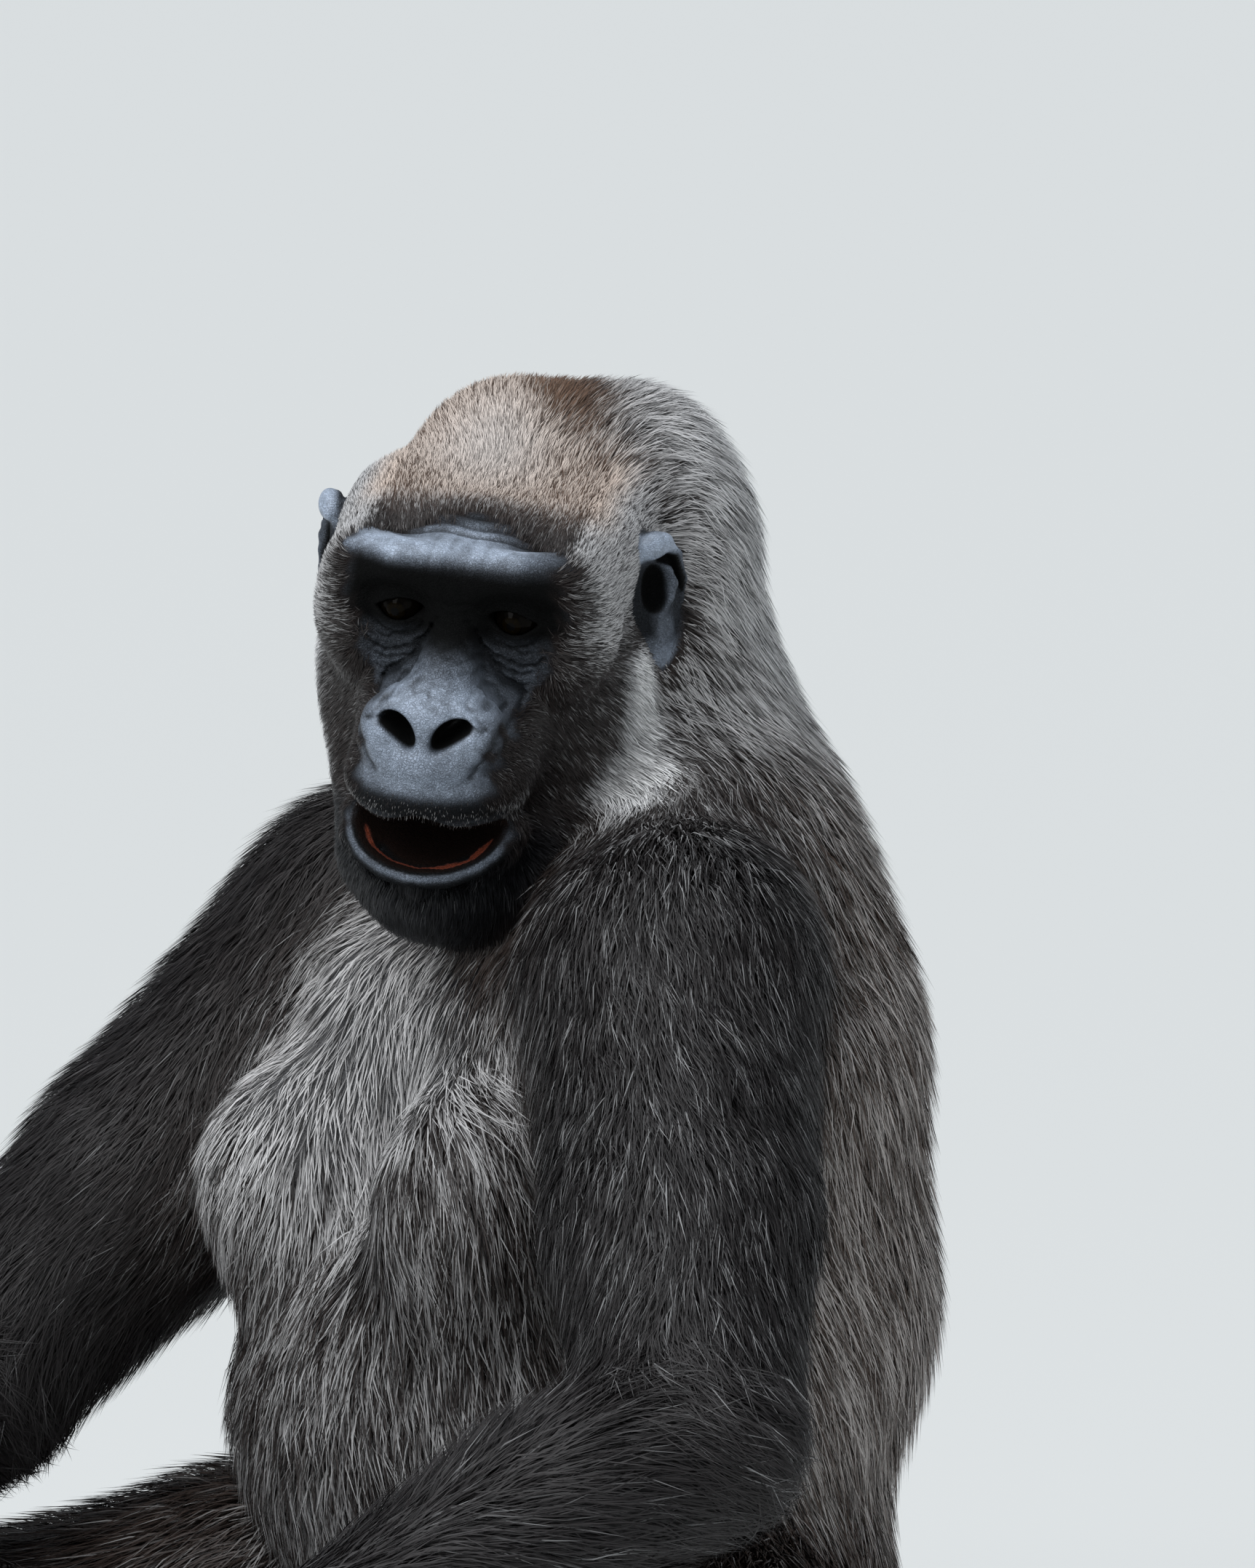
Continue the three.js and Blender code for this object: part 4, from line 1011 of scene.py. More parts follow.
    def mouth(self, q: Array) -> tuple[Array, Array, Array, Array]:
        """The mouth's hollow, the inner lip, a painted highlight along the lip's rim, painted shade at the
        lip's inner edge, and a darkening toward the bottom of the lip.
        """
        y, z, folded = q[:, 1], q[:, 2], mirrored(q)
        head = self.flesh.head
        inside = -head.opening(folded)
        hollow = np.maximum(smooth(inside, -2.0, -0.6), smooth(inside, -3.6, -2.8) * smooth(y, -124, -114))
        lower = smooth(-z, 86, 92)
        strip = 1.5 + 3.2 * reach_between(q[:, 0], 4, 14, 24, 34)
        inner = head.lip(folded, (-1.5, 4.5, 3.6), (0, 0, 0, 0, 0))
        lip = (1 - smooth(inner, strip, strip + 0.8)) * lower * smooth(-y, 98, 110)
        # Painted shade where the lip turns into the mouth.
        band = smooth(inside, -3.2, -2.2) * (1 - lip) * lower * smooth(-y, 90, 104)
        ahead = smooth(-y, 60, 96)
        # Painted highlight along the rim of the lower lip.
        rim = smooth(-inside, 2.2, 3.4) * (1 - smooth(-inside, 5.2, 7.2)) * lower * ahead
        # Darker toward the bottom of the lower lip.
        below = smooth(-inside, 5.8, 9.0) * (1 - smooth(-inside, 16, 22)) * smooth(-z, 92, 100) * ahead
        return hollow, lip, rim, 0.9 * band + 0.8 * below

    def ears(self, q: Array) -> tuple[Array, Array, Array]:
        """Where the ears are, their painted highlights on the knob, raised parts and lobe, and their
        painted shade in the hollows and along the front, where dark hair also lies.
        """
        e = self.flesh.head.ear_local(q)
        knob = smooth(e[:, 2], 22, 29) * smooth(e[:, 0], -2, 2)
        raised = smooth(e[:, 0], 2.0, 5.5)
        front = smooth(-e[:, 1], 1, 8) * (1 - smooth(e[:, 2], 16, 26))
        front = front * (1 - raised * smooth(-e[:, 2], 14, 22))
        lobe = 0.30 * (1 - smooth(e[:, 2], -30, -22))
        # Painted highlights on the knob, the raised parts and the lobe.
        light = 0.85 * knob + (0.26 * raised + lobe) * (1 - front)
        # Painted shade in the hollows and along the front.
        hollows = (1 - smooth(self.flesh.head.ear_hollows(e), -0.2, 1.4)) * (1 - knob)
        return 1 - smooth(self.flesh.head.ear_shape(q), 2, 5), light, hollows + 0.55 * front


# ---------------------------------------------------------------- the skin
@dataclass(frozen=True)
class Zone:
    """A stretch of skin that is meshed at a step of its own."""

    name: str
    parts: tuple[Part, ...]
    low: Triple
    high: Triple
    step: float
    fine: bool = False
    overlap: float = 0.0

    def outside(self, flesh: Flesh, p: Array) -> Array:
        """How far points lie outside the stretch, which reaches a little over its neighbours."""
        parts = flesh.owners(p)
        others = [part for part in Part if part not in self.parts]
        return parts[list(self.parts)].min(0) - parts[others].min(0) - self.overlap

    def mesh(self, flesh: Flesh) -> Mesh:
        """The stretch as a mesh."""
        made = Mesher(self.low, self.high, self.step).mesh(
            partial(flesh.shape, fine=self.fine), partial(self.outside, flesh))
        log.info("skin zone %s: %d faces", self.name, len(made.faces))
        return made


@dataclass(frozen=True)
class Chart:
    """Unwraps the body by its parts and by the side that each face looks to."""

    margin: float = 0.004
    slack: float = 1.12

    def places(self, normals: Array, corners: Array, owners: Array) -> Array:
        """A place on the map for each corner of each face.

        Args:
            normals: Normal of each face.
            corners: Corners of each face, in three dimensions.
            owners: Part number of each face.

        Returns:
            Places from 0 to 1, in the order of the corners.
        """
        side = np.argmax(np.abs(normals), axis=1)
        looks = side * 2 + (np.take_along_axis(normals, side[:, None], 1)[:, 0] > 0)
        charts = owners * 6 + looks
        spread = np.empty(corners.shape[:2] + (2,), np.float32)
        for axis in range(3):
            rows = side == axis
            spread[rows] = np.delete(corners[rows], axis, axis=2)
        boxes = []
        for chart in np.unique(charts):
            rows = charts == chart
            low, high = spread[rows].min((0, 1)), spread[rows].max((0, 1))
            boxes.append((float(high[1] - low[1]), float(high[0] - low[0]), int(chart), low))
        boxes.sort(key=lambda box: -box[0])
        width = math.sqrt(sum(h * w for h, w, _, _ in boxes)) * self.slack
        x = y = shelf = 0.0
        out = np.zeros_like(spread)
        gap = width * self.margin
        for h, w, chart, low in boxes:
            if x + w > width:
                x, y, shelf = 0.0, y + shelf + gap, 0.0
            out[charts == chart] = spread[charts == chart] - low + np.float32((x, y))
            x, shelf = x + w + gap, max(shelf, h)
        return out / max(width, y + shelf)


@dataclass
class Skin:
    """The one skin of the whole body, and what its points carry."""

    flesh: Flesh
    markings: Markings
    face_step: float = 1.25
    hand_step: float = 2.4
    body_step: float = 4.5
    place_scale: float = 0.01
    mesh: Mesh = field(init=False)
    marks: Array = field(init=False)
    parts: Array = field(init=False)
    places: Array = field(init=False)

    def zones(self) -> list[Zone]:
        """The stretches of skin, the finest first."""
        hands = (Part.HAND_LEFT, Part.HAND_RIGHT)
        feet = (Part.FOOT_LEFT, Part.FOOT_RIGHT)
        rest = tuple(part for part in Part if part not in (Part.HEAD, *hands, *feet))
        return [
            Zone("head", (Part.HEAD,), (-170, -270, 430), (150, 60, 740), self.face_step, True),
            Zone("hands", hands, (-320, -640, -6), (320, -370, 150), self.hand_step),
            Zone("feet", feet, (-190, -520, -6), (190, -240, 130), self.hand_step),
            Zone("body", rest, (-380, -560, -6), (390, 190, 760), self.body_step, overlap=5.0),
        ]

    def grow(self) -> None:
        """Meshes the zones and works out what the points carry."""
        meshes = [zone.mesh(self.flesh) for zone in self.zones()]
        starts = np.cumsum([0] + [len(m.points) for m in meshes])
        points = np.concatenate([m.points for m in meshes]).astype(np.float32)
        faces = np.concatenate([m.faces + start for m, start in zip(meshes, starts)])
        self.mesh = Mesh(points, faces)
        self.parts = self.flesh.owners(points)
        self.marks = self.markings.masks(points, self.parts)
        self.places = self.unwrap()

    def unwrap(self) -> Array:
        """Places on the map, where the faces of the head are charted in the head's own frame."""
        corners = self.mesh.points[self.mesh.faces]
        looks = unit(np.cross(corners[:, 2] - corners[:, 0], corners[:, 3] - corners[:, 1]))
        owners = self.parts[:, self.mesh.faces].mean(2).argmin(0)
        head = owners == Part.HEAD
        turn = np.float32(self.flesh.head.matrix.to_3x3())
        corners[head] = corners[head] @ turn
        looks[head] = looks[head] @ turn
        return Chart().places(looks, corners, owners)

    def build(self, finish: "SkinFinish") -> bpy.types.Object:
        """Makes the piece and dresses it.

        Args:
            finish: The skin's material.

        Returns:
            The skin, which stands for every node of flesh.
        """
        piece = build_object("skin", self.mesh)
        put_masks(piece, "marks", self.marks)
        q = self.flesh.head.local(self.mesh.points)
        on_ear = 1 - smooth(self.flesh.head.ear_shape(q), 2, 6)
        on_head = np.maximum(smooth(self.markings.shares(self.parts)[Part.HEAD], 0.3, 0.7), on_ear)
        face = self.markings.face(q) * on_head[:, None]
        put_masks(piece, "face", face[:, :4])
        put_masks(piece, "tone", face[:, 4:])
        put_vectors(piece, "head_place", q * self.place_scale)
        put_map(piece, "OFBake", self.places)
        piece.data.materials.append(finish.material())
        return piece


# ---------------------------------------------------------------- eyes
@dataclass(frozen=True)
class Eye:
    """One eyeball with a slightly raised cornea."""

    head: Head
    side: int
    rows: int = 48
    around: int = 64
    play: float = 0.3
    cornea_rise: float = 0.45
    cornea: tuple[float, float] = (3.5, 6.4)
    zone_scale: float = 12
    gaze: Triple = (-0.10, -0.98, -0.12)

    def build(self, finish: "EyeFinish") -> bpy.types.Object:
        """Makes the eyeball, its pole turned along the gaze."""
        turns = np.linspace(0, math.pi, self.rows + 1)[1:-1]
        spins = np.linspace(0, 2 * math.pi, self.around, endpoint=False)
        t, s = (g.ravel() for g in np.meshgrid(turns, spins, indexing="ij"))
        t, s = np.append(t, (0, math.pi)), np.append(s, (0, 0))
        front = t < math.pi / 2
        off_axis = np.sin(t) * self.head.ball
        r = self.head.ball - self.play + self.cornea_rise * (1 - smooth(off_axis, *self.cornea)) * front
        ahead = unit(np.float32(self.gaze))
        across = unit(np.cross(ahead, (0, 0, 1)))
        up = np.cross(across, ahead)
        q = np.outer(r * np.cos(t), ahead) + np.outer(r * np.sin(t) * np.cos(s), across)
        q += np.outer(r * np.sin(t) * np.sin(s), up)
        q += np.float32((self.side * self.head.eye[0], *self.head.eye[1:]))
        points = self.head.world(q.astype(np.float32)) + np.float32(self.head.at)
        name = "eye_left_ball" if self.side > 0 else "eye_right_ball"
        piece = build_object(name, Mesh(points, self.faces()))
        zones = np.column_stack([np.where(front, off_axis, 20) / self.zone_scale, s / (2 * math.pi)])
        put_masks(piece, "eye_zone", zones)
        piece.data.materials.append(finish.material())
        return piece

    def faces(self) -> Array:
        """Triangles between the rings of points, and to the two poles."""
        n, rings = self.around, self.rows - 1
        k = np.arange(n)
        after = (k + 1) % n
        rows = [np.column_stack([at + k, at + n + k, at + n + after, at + after])
                for at in range(0, (rings - 1) * n, n)]
        quads = np.concatenate(rows)
        top, last = rings * n, (rings - 1) * n
        caps = [np.column_stack([np.full(n, top), k, after]),
                np.column_stack([last + after, last + k, np.full(n, top + 1)])]
        return np.concatenate([quads[:, [0, 1, 2]], quads[:, [0, 2, 3]], *caps])


# ---------------------------------------------------------------- the coat
@dataclass
class Roots:
    """Where tufts stand on the skin, and what the skin carries there."""

    at: Array
    up: Array
    place: Array
    marks: Array
    parts: Array

    def some(self, rows: Array) -> "Roots":
        """A choice of the roots."""
        return Roots(self.at[rows], self.up[rows], self.place[rows], self.marks[rows], self.parts[:, rows])


@dataclass
class Tufts:
    """The tufts of one piece: their roots, their lie, and their sizes in millimetres."""

    roots: Roots
    along: Array
    head: Array
    length: Array
    width: Array
    side: Array
    flat: Array
    bend: Array
    lift: Array


@dataclass
class Coat:
    """The hair of the whole body as thin tapered tufts of three triangles."""

    skin: Skin
    seed: int = 11
    share: float = 1.0
    piece_tufts: int = 64000
    lowest_root: float = 2.5
    lowest_point: float = 0.8
    sunk: float = 0.8
    stray_share: float = 0.02
    heights: tuple[float, ...] = (0.0, 0.48, 1.0)
    widths: tuple[float, ...] = (0.8, 1.0, 0.0)
    patch: float = 0.003
    chance: np.random.Generator = field(init=False)

    def __post_init__(self) -> None:
        """Starts the random draws."""
        self.chance = np.random.default_rng(self.seed)

    def density(self, points: Array, marks: Array, shares: Array) -> Array:
        """Tufts to the square millimetre at the middles of the faces."""
        head = self.skin.flesh.head
        even = blended(shares, growths(self.skin.flesh), "density") / 100
        even *= 1 - smooth(marks[:, 2], 0.15, 0.85)
        q = head.local(points)
        m = mirrored(q)
        near = np.abs(m).max(1) < 170
        mouth = np.full(len(q), 99, np.float32)
        mouth[near] = head.opening(m[near])
        upper = reach_between(q[:, 2], -86, -78, -68, -60) * smooth(-q[:, 1], 96, 112) * shares[Part.HEAD]
        even = np.maximum(even, 0.36 * upper)
        even[near] *= smooth(mouth[near], 0.6, 1.6)
        even *= 1 - (1 - smooth(mouth, 6.5, 8.5)) * (q[:, 2] < -88) * (q[:, 1] < -90)
        return even * self.share

    def roots(self) -> Roots:
        """Spreads roots over the skin."""
        skin = self.skin
        corners = skin.mesh.points[skin.mesh.faces]
        across = np.cross(corners[:, 2] - corners[:, 0], corners[:, 3] - corners[:, 1])
        marks = skin.marks[skin.mesh.faces].mean(1)
        parts = skin.parts[:, skin.mesh.faces].mean(2)
        wanted = np.linalg.norm(across, axis=1) / 2 \
            * self.density(corners.mean(1), marks, skin.markings.shares(parts))
        wanted[corners[:, :, 2].mean(1) < self.lowest_root] = 0
        total = int(wanted.sum())
        steps = (np.arange(total) + self.chance.random(total)) / total * wanted.sum()
        face = np.minimum(np.searchsorted(np.cumsum(wanted), steps), len(wanted) - 1)
        u, v = self.chance.random((2, total, 1)).astype(np.float32)
        weights = ((1 - u) * (1 - v), u * (1 - v), u * v, (1 - u) * v)
        used = skin.mesh.faces[face]

        def spread(values: Array) -> Array:
            """What the points carry, at the roots."""
            return sum(w * values[used[:, k]] for k, w in enumerate(weights))

        at, up = spread(skin.mesh.points), unit(spread(skin.mesh.normals()))
        place = sum(w * skin.places[face, k] for k, w in enumerate(weights))
        part = sum(w[:, 0] * skin.parts[:, used[:, k]] for k, w in enumerate(weights))
        return Roots(at.astype(np.float32), up.astype(np.float32), place, spread(skin.marks), part)

    def lie(self, roots: Roots, shares: Array) -> Array:
        """The direction in which each tuft lies, along the skin."""
        head = self.skin.flesh.head
        table = growths(self.skin.flesh)
        v = sum(np.outer(shares[part], table[part].lie) for part in Part).astype(np.float32)
        q = head.local(roots.at)
        low = smooth(-q[:, 2], -20, 55)[:, None]
        on_head = shares[Part.HEAD][:, None]
        ways = ((0, 1, 0.25), (0, 0.42, -0.9), (0, -0.3, -1), (1, 0, 0))
        back, down, fore, left = (head.world(np.float32(way)) for way in ways)
        out = left * np.sign(q[:, :1]) * smooth(np.abs(q[:, :1]), 4, 30)
        muzzle = (smooth(-q[:, 1], 90, 112) * smooth(-q[:, 2], 50, 62))[:, None]
        v += on_head * (back * (1 - low) + down * low) * 1.6 + on_head * (1 - low) * 0.25 * out
        v += on_head * muzzle * (fore * 2.6 - down * 1.2)
        out = np.sign(roots.at[:, 0]) * smooth(np.abs(roots.at[:, 0]), 4, 60)
        v[:, 0] += (shares[Part.TORSO] + 0.5 * shares[Part.NECK]) * (out * 0.3)
        v += self.waves(roots.at * 0.021) + self.chance.normal(0, 0.10, v.shape)
        v -= roots.up * (v * roots.up).sum(1, keepdims=True)
        return unit(v).astype(np.float32)

    @staticmethod
    def waves(p: Array) -> Array:
        """The broad sway and the small clumps of the coat."""
        x, y, z = p.T
        sway = [np.sin(y * 2.1 + 1.3 * np.sin(z)), np.sin(z * 1.7 + 1.1 * np.sin(x * 1.3)),
                np.sin(x * 1.9 + 1.7 * np.sin(y))]
        clump = [np.sin(z * 9.1 + 2 * np.sin(y * 5)), np.sin(x * 8.3), np.sin(y * 7.7 + 2 * np.sin(z * 6))]
        return 0.14 * np.column_stack(sway) + 0.13 * np.column_stack(clump)

    def build(self, finish: "CoatFinish") -> list[bpy.types.Object]:
        """Makes the coat's pieces.

        Args:
            finish: The coat's material.

        Returns:
            Pieces of fewer than 200,000 triangles each.
        """
        roots = self.roots()
        shares = self.skin.markings.shares(roots.parts)
        owner = roots.parts.argmin(0)
        along = self.lie(roots, shares)
        material = finish.material()
        pieces = []
        for part in Part:
            rows = np.flatnonzero(owner == part)
            for k, start in enumerate(range(0, len(rows), self.piece_tufts)):
                some = rows[start:start + self.piece_tufts]
                tufts = self.tufts(roots.some(some), shares[:, some], along[some])
                name = f"coat_{part.name.lower()}_{k + 1}"
                pieces.append(self.piece(name, tufts, shares[:, some], material))
        log.info("coat: %d tufts in %d pieces", len(owner), len(pieces))
        return pieces

    def head_length(self, q: Array) -> Array:
        """Length of the hair of the head, at places in its frame."""
        y, z = q[:, 1], q[:, 2]
        low = smooth(-z, 10, 70) * smooth(y, -70, -20)
        length = 8.5 + 9 * smooth(y, 40, 110) + 8 * low + 5 * smooth(-z, 96, 120)
        length = length + 18 * self.skin.markings.ruff(q)
        muzzle = smooth(-y, 92, 112) * smooth(z, -92, -80)
        return length * (1 - muzzle) + 3.6 * muzzle

    def ear_room(self, q: Array) -> Array:
        """How far each root stands from the ear before it, or 99 where none is near."""
        head = self.skin.flesh.head
        e = head.ear_local(q)
        room = np.full(len(q), 99, np.float32)
        near = (np.abs(e[:, 0]) < 45) & (e[:, 1] < 16) & (e[:, 1] > -60) & (np.abs(e[:, 2]) < 58)
        room[near] = head.ear_shape(q[near])
        return room

    def tufts(self, roots: Roots, shares: Array, along: Array) -> Tufts:
        """Draws the sizes of the tufts of one piece.

        Args:
            roots: Where they stand.
            shares: How much each part rules there.
            along: The lie of each tuft.

        Returns:
            The tufts.
        """
        flesh, chance, n = self.skin.flesh, self.chance, len(roots.at)
        table, head = growths(flesh), shares[Part.HEAD]
        q = flesh.head.local(roots.at)
        length = blended(shares, table, "length") * (1 - head) + head * self.head_length(q)
        length *= 1 - 0.45 * smooth(roots.marks[:, 2], 0.2, 0.8)
        clear = self.ear_room(q)
        length = np.where(clear < 40, np.minimum(length, 3.5 + 0.75 * clear), length)
        depth = (flesh.depth(roots.at) - head * flesh.head.fullness(q)) * smooth(clear, -4, 26)
        length *= chance.uniform(0.65, 1.15, n)
        layer = chance.uniform(0.12, 0.95, n) ** 0.9
        layer = np.where(chance.random(n) < self.stray_share, layer + 0.25, layer)
        muzzle = head * smooth(-q[:, 1], 92, 112) * smooth(q[:, 2], -96, -84)
        width = blended(shares, table, "width")
        width *= chance.uniform(0.7, 1.15, n) * (1 - 0.4 * muzzle)
        side = unit(np.cross(along, roots.up))
        twist = chance.normal(0, 0.45, n)[:, None]
        flat = (side * np.cos(twist) + roots.up * np.sin(twist)).astype(np.float32)
        lift = np.minimum(depth * layer, 0.42 * length)
        return Tufts(roots, along, head, length, width, side, flat, chance.normal(0, 0.10, n), lift)

    def points(self, tufts: Tufts) -> Array:
        """The five points of each tuft: two pairs and a tip, which follow the form of the body."""
        flesh, roots, points = self.skin.flesh, tufts.roots, []
        for t, w in zip(self.heights, self.widths):
            rise = tufts.lift * (1 - (1 - t) ** 1.7)
            sway = tufts.side * (tufts.length * tufts.bend * t * t)[:, None]
            at = roots.at + tufts.along * (tufts.length * t)[:, None] + sway
            at += roots.up * (rise - self.sunk * (t == 0))[:, None]
            if t > 0:
                off = flesh.whole(flesh.parts(at.astype(np.float32)))
                at += roots.up * np.clip(rise - off, -14, 14)[:, None] * 0.85
            at[:, 2] = np.maximum(at[:, 2], self.lowest_point)
            half = tufts.flat * (tufts.width * w / 2)[:, None]
            points += [at] if w == 0 else [at - half, at + half]
        return np.stack(points, 1).astype(np.float32)

    def draws(self, tufts: Tufts, shares: Array) -> Array:
        """A draw from 0 to 1 for each tuft, half by chance and half by the patches of the coat."""
        x, y, z = tufts.roots.at.T
        patch = np.sin(x * 0.70 + 2.1 * np.sin(y * 0.26)) + np.sin(y * 0.61 + 1.7 * np.sin(z * 0.21)) \
            + np.sin(z * 0.38 + 1.9 * np.sin(x * 0.25))
        arms = shares[[Part.ARM_LEFT, Part.ARM_RIGHT, Part.FOREARM_LEFT, Part.FOREARM_RIGHT]]
        patchy = 0.60 - 0.46 * tufts.head - 0.28 * arms.sum(0)
        draw = (1 - patchy) * self.chance.random(len(x)) + patchy * (0.5 + patch / 4.0)
        return np.clip(draw, 0, 1)

    def piece(self, name: str, tufts: Tufts, shares: Array,
              material: bpy.types.Material) -> bpy.types.Object:
        """One piece of the coat.

        Args:
            name: The piece's name.
            tufts: Its tufts.
            shares: How much each part rules at their roots.
            material: The coat's material.

        Returns:
            The piece.
        """
        roots, along, n = tufts.roots, tufts.along, len(tufts.length)
        faces = np.array([[0, 1, 3], [0, 3, 2], [2, 3, 4]])
        faces = (np.arange(n)[:, None, None] * 5 + faces).reshape(-1, 3)
        piece = build_object(name, Mesh(self.points(tufts).reshape(-1, 3), faces))
        height = np.repeat(self.heights, (2, 2, 1))[None, :, None]
        tint = (roots.marks[:, None, :2], height, self.draws(tufts, shares)[:, None, None])
        tint = np.concatenate([np.broadcast_to(mask, (n, 5, mask.shape[2])) for mask in tint], axis=2)
        put_masks(piece, "tint", tint.reshape(-1, 4))
        corner = np.array([[0, 0], [1, 0], [0, 0.5], [1, 0.5], [0.5, 1]]) * self.patch - self.patch / 2
        places = (roots.place[:, None, :] + corner)[np.arange(n)[:, None], faces.reshape(n, -1) % 5]
        put_map(piece, "OFBake", places)
        blade = unit(np.cross(tufts.flat, along))
        blade *= np.sign((blade * roots.up).sum(1, keepdims=True) + 1e-6)
        shade = unit(roots.up * 0.62 + blade * 0.38 + self.chance.normal(0, 0.10, (n, 3)))
        lean = shade[:, None, :] + along[:, None, :] * (height - 0.5) * 0.25
        piece.data.normals_split_custom_set_from_vertices(unit(lean).reshape(-1, 3).astype(np.float32))
        piece.data.materials.append(material)
        return piece


# ---------------------------------------------------------------- finishes
Socket = bpy.types.NodeSocket
Colour = tuple[float, float, float]


class Nodes:
    """Places and links the nodes of one tree."""

    def __init__(self, tree: bpy.types.NodeTree) -> None:
        """Keeps the tree that the nodes go into."""
        self.tree = tree

    def add(self, kind: str, **inputs: object) -> bpy.types.Node:
        """Adds a node.

        Args:
            kind: Its type.
            **inputs: A value or a socket for each named input, with _ for a space.

        Returns:
            The node.
        """
        node = self.tree.nodes.new(kind)
        for name, value in inputs.items():
            self.feed(node.inputs[name.replace("_", " ")], value)
        return node

    def feed(self, socket: Socket, value: object) -> None:
        """Sets a socket to a value or links another socket to it."""
        if isinstance(value, bpy.types.NodeSocket):
            self.tree.links.new(value, socket)
        elif isinstance(value, tuple) and len(value) == 3 and socket.type == "RGBA":
            socket.default_value = (*value, 1)
        else:
            socket.default_value = value

    def calc(self, operation: str, a: object, b: object = 0.0, clamp: bool = False) -> Socket:
        """A Math node's result."""
        node = self.tree.nodes.new("ShaderNodeMath")
        node.operation, node.use_clamp = operation, clamp
        self.feed(node.inputs[0], a)
        self.feed(node.inputs[1], b)
        return node.outputs[0]

    def plus(self, a: object, b: object) -> Socket:
        """The sum of two values."""
        return self.calc("ADD", a, b)

    def minus(self, a: object, b: object, clamp: bool = False) -> Socket:
        """What is left of a without b, from 0 to 1 if clamped."""
        return self.calc("SUBTRACT", a, b, clamp)

    def times(self, a: object, b: object) -> Socket:
        """The product of two values."""
        return self.calc("MULTIPLY", a, b)

    def span(self, value: object, low: float, high: float,
             to_low: float = 0.0, to_high: float = 1.0) -> Socket:
        """A value brought smoothly from one range to another."""
        node = self.tree.nodes.new("ShaderNodeMapRange")
        node.interpolation_type = "SMOOTHSTEP"
        names = ("Value", "From Min", "From Max", "To Min", "To Max")
        for name, number in zip(names, (value, low, high, to_low, to_high)):
            self.feed(node.inputs[name], number)
        return node.outputs[0]

    def mix(self, share: object, a: object, b: object, blend: str = "MIX") -> Socket:
        """Two colours mixed by a share."""
        node = self.tree.nodes.new("ShaderNodeMix")
        node.data_type, node.blend_type = "RGBA", blend
        self.feed(node.inputs["Factor"], share)
        self.feed(node.inputs[6], a)
        self.feed(node.inputs[7], b)
        return node.outputs[2]

    def masks(self, name: str) -> tuple[Socket, ...]:
        """The four masks that a piece carries under a name."""
        node = self.tree.nodes.new("ShaderNodeAttribute")
        node.attribute_name = name
        parts = self.add("ShaderNodeSeparateColor", Color=node.outputs["Color"])
        return *(parts.outputs[k] for k in range(3)), node.outputs["Alpha"]

    def vector(self, name: str) -> Socket:
        """The vector that a piece carries under a name."""
        node = self.tree.nodes.new("ShaderNodeAttribute")
        node.attribute_name = name
        return node.outputs["Vector"]

    def noise(self, place: Socket, scale: object, detail: float = 3.0) -> Socket:
        """Soft noise from 0 to 1."""
        return self.add("ShaderNodeTexNoise", Vector=place, Scale=scale, Detail=detail).outputs[0]

    def cracks(self, place: Socket, scale: object) -> Socket:
        """Distance to the edges of a cell pattern."""
        node = self.tree.nodes.new("ShaderNodeTexVoronoi")
        node.feature = "DISTANCE_TO_EDGE"
        self.feed(node.inputs["Vector"], place)
        self.feed(node.inputs["Scale"], scale)
        return node.outputs["Distance"]

    def stretched(self, place: Socket, scale: Triple) -> Socket:
        """Coordinates scaled along each axis."""
        node = self.tree.nodes.new("ShaderNodeMapping")
        self.feed(node.inputs["Vector"], place)
        node.inputs["Scale"].default_value = scale
        return node.outputs[0]

    def grey(self, value: Socket) -> Socket:
        """A value as a grey colour."""
        node = self.tree.nodes.new("ShaderNodeCombineColor")
        for socket in node.inputs:
            self.tree.links.new(value, socket)
        return node.outputs[0]

    def group(self, tree: bpy.types.NodeTree, **inputs: object) -> bpy.types.Node:
        """Places a node group with its own values."""
        node = self.tree.nodes.new("ShaderNodeGroup")
        node.node_tree = tree
        for name, value in inputs.items():
            self.feed(node.inputs[name.replace("_", " ")], value)
        return node


NUMBER, COLOUR, VECTOR = "NodeSocketFloat", "NodeSocketColor", "NodeSocketVector"


class Group:
    """A node group in the making: its tree, its nodes, what it is given and what it gives."""

    def __init__(self, name: str, inputs: dict[str, str], outputs: dict[str, str]) -> None:
        """Opens the group, with a socket type for the name of each input and output."""
        self.tree = bpy.data.node_groups.new(name, "ShaderNodeTree")
        for side, sockets in (("INPUT", inputs), ("OUTPUT", outputs)):
            for socket, kind in sockets.items():
                self.tree.interface.new_socket(name=socket, in_out=side, socket_type=kind)
        self.nodes = Nodes(self.tree)
        entry = self.tree.nodes.new("NodeGroupInput")
        self.given = {name: entry.outputs[name] for name in inputs}
        self.out = self.tree.nodes.new("NodeGroupOutput")

    def closed(self, **results: Socket) -> bpy.types.NodeTree:
        """The finished tree, with a result for each output."""
        for name, socket in results.items():
            self.nodes.feed(self.out.inputs[name], socket)
        return self.tree


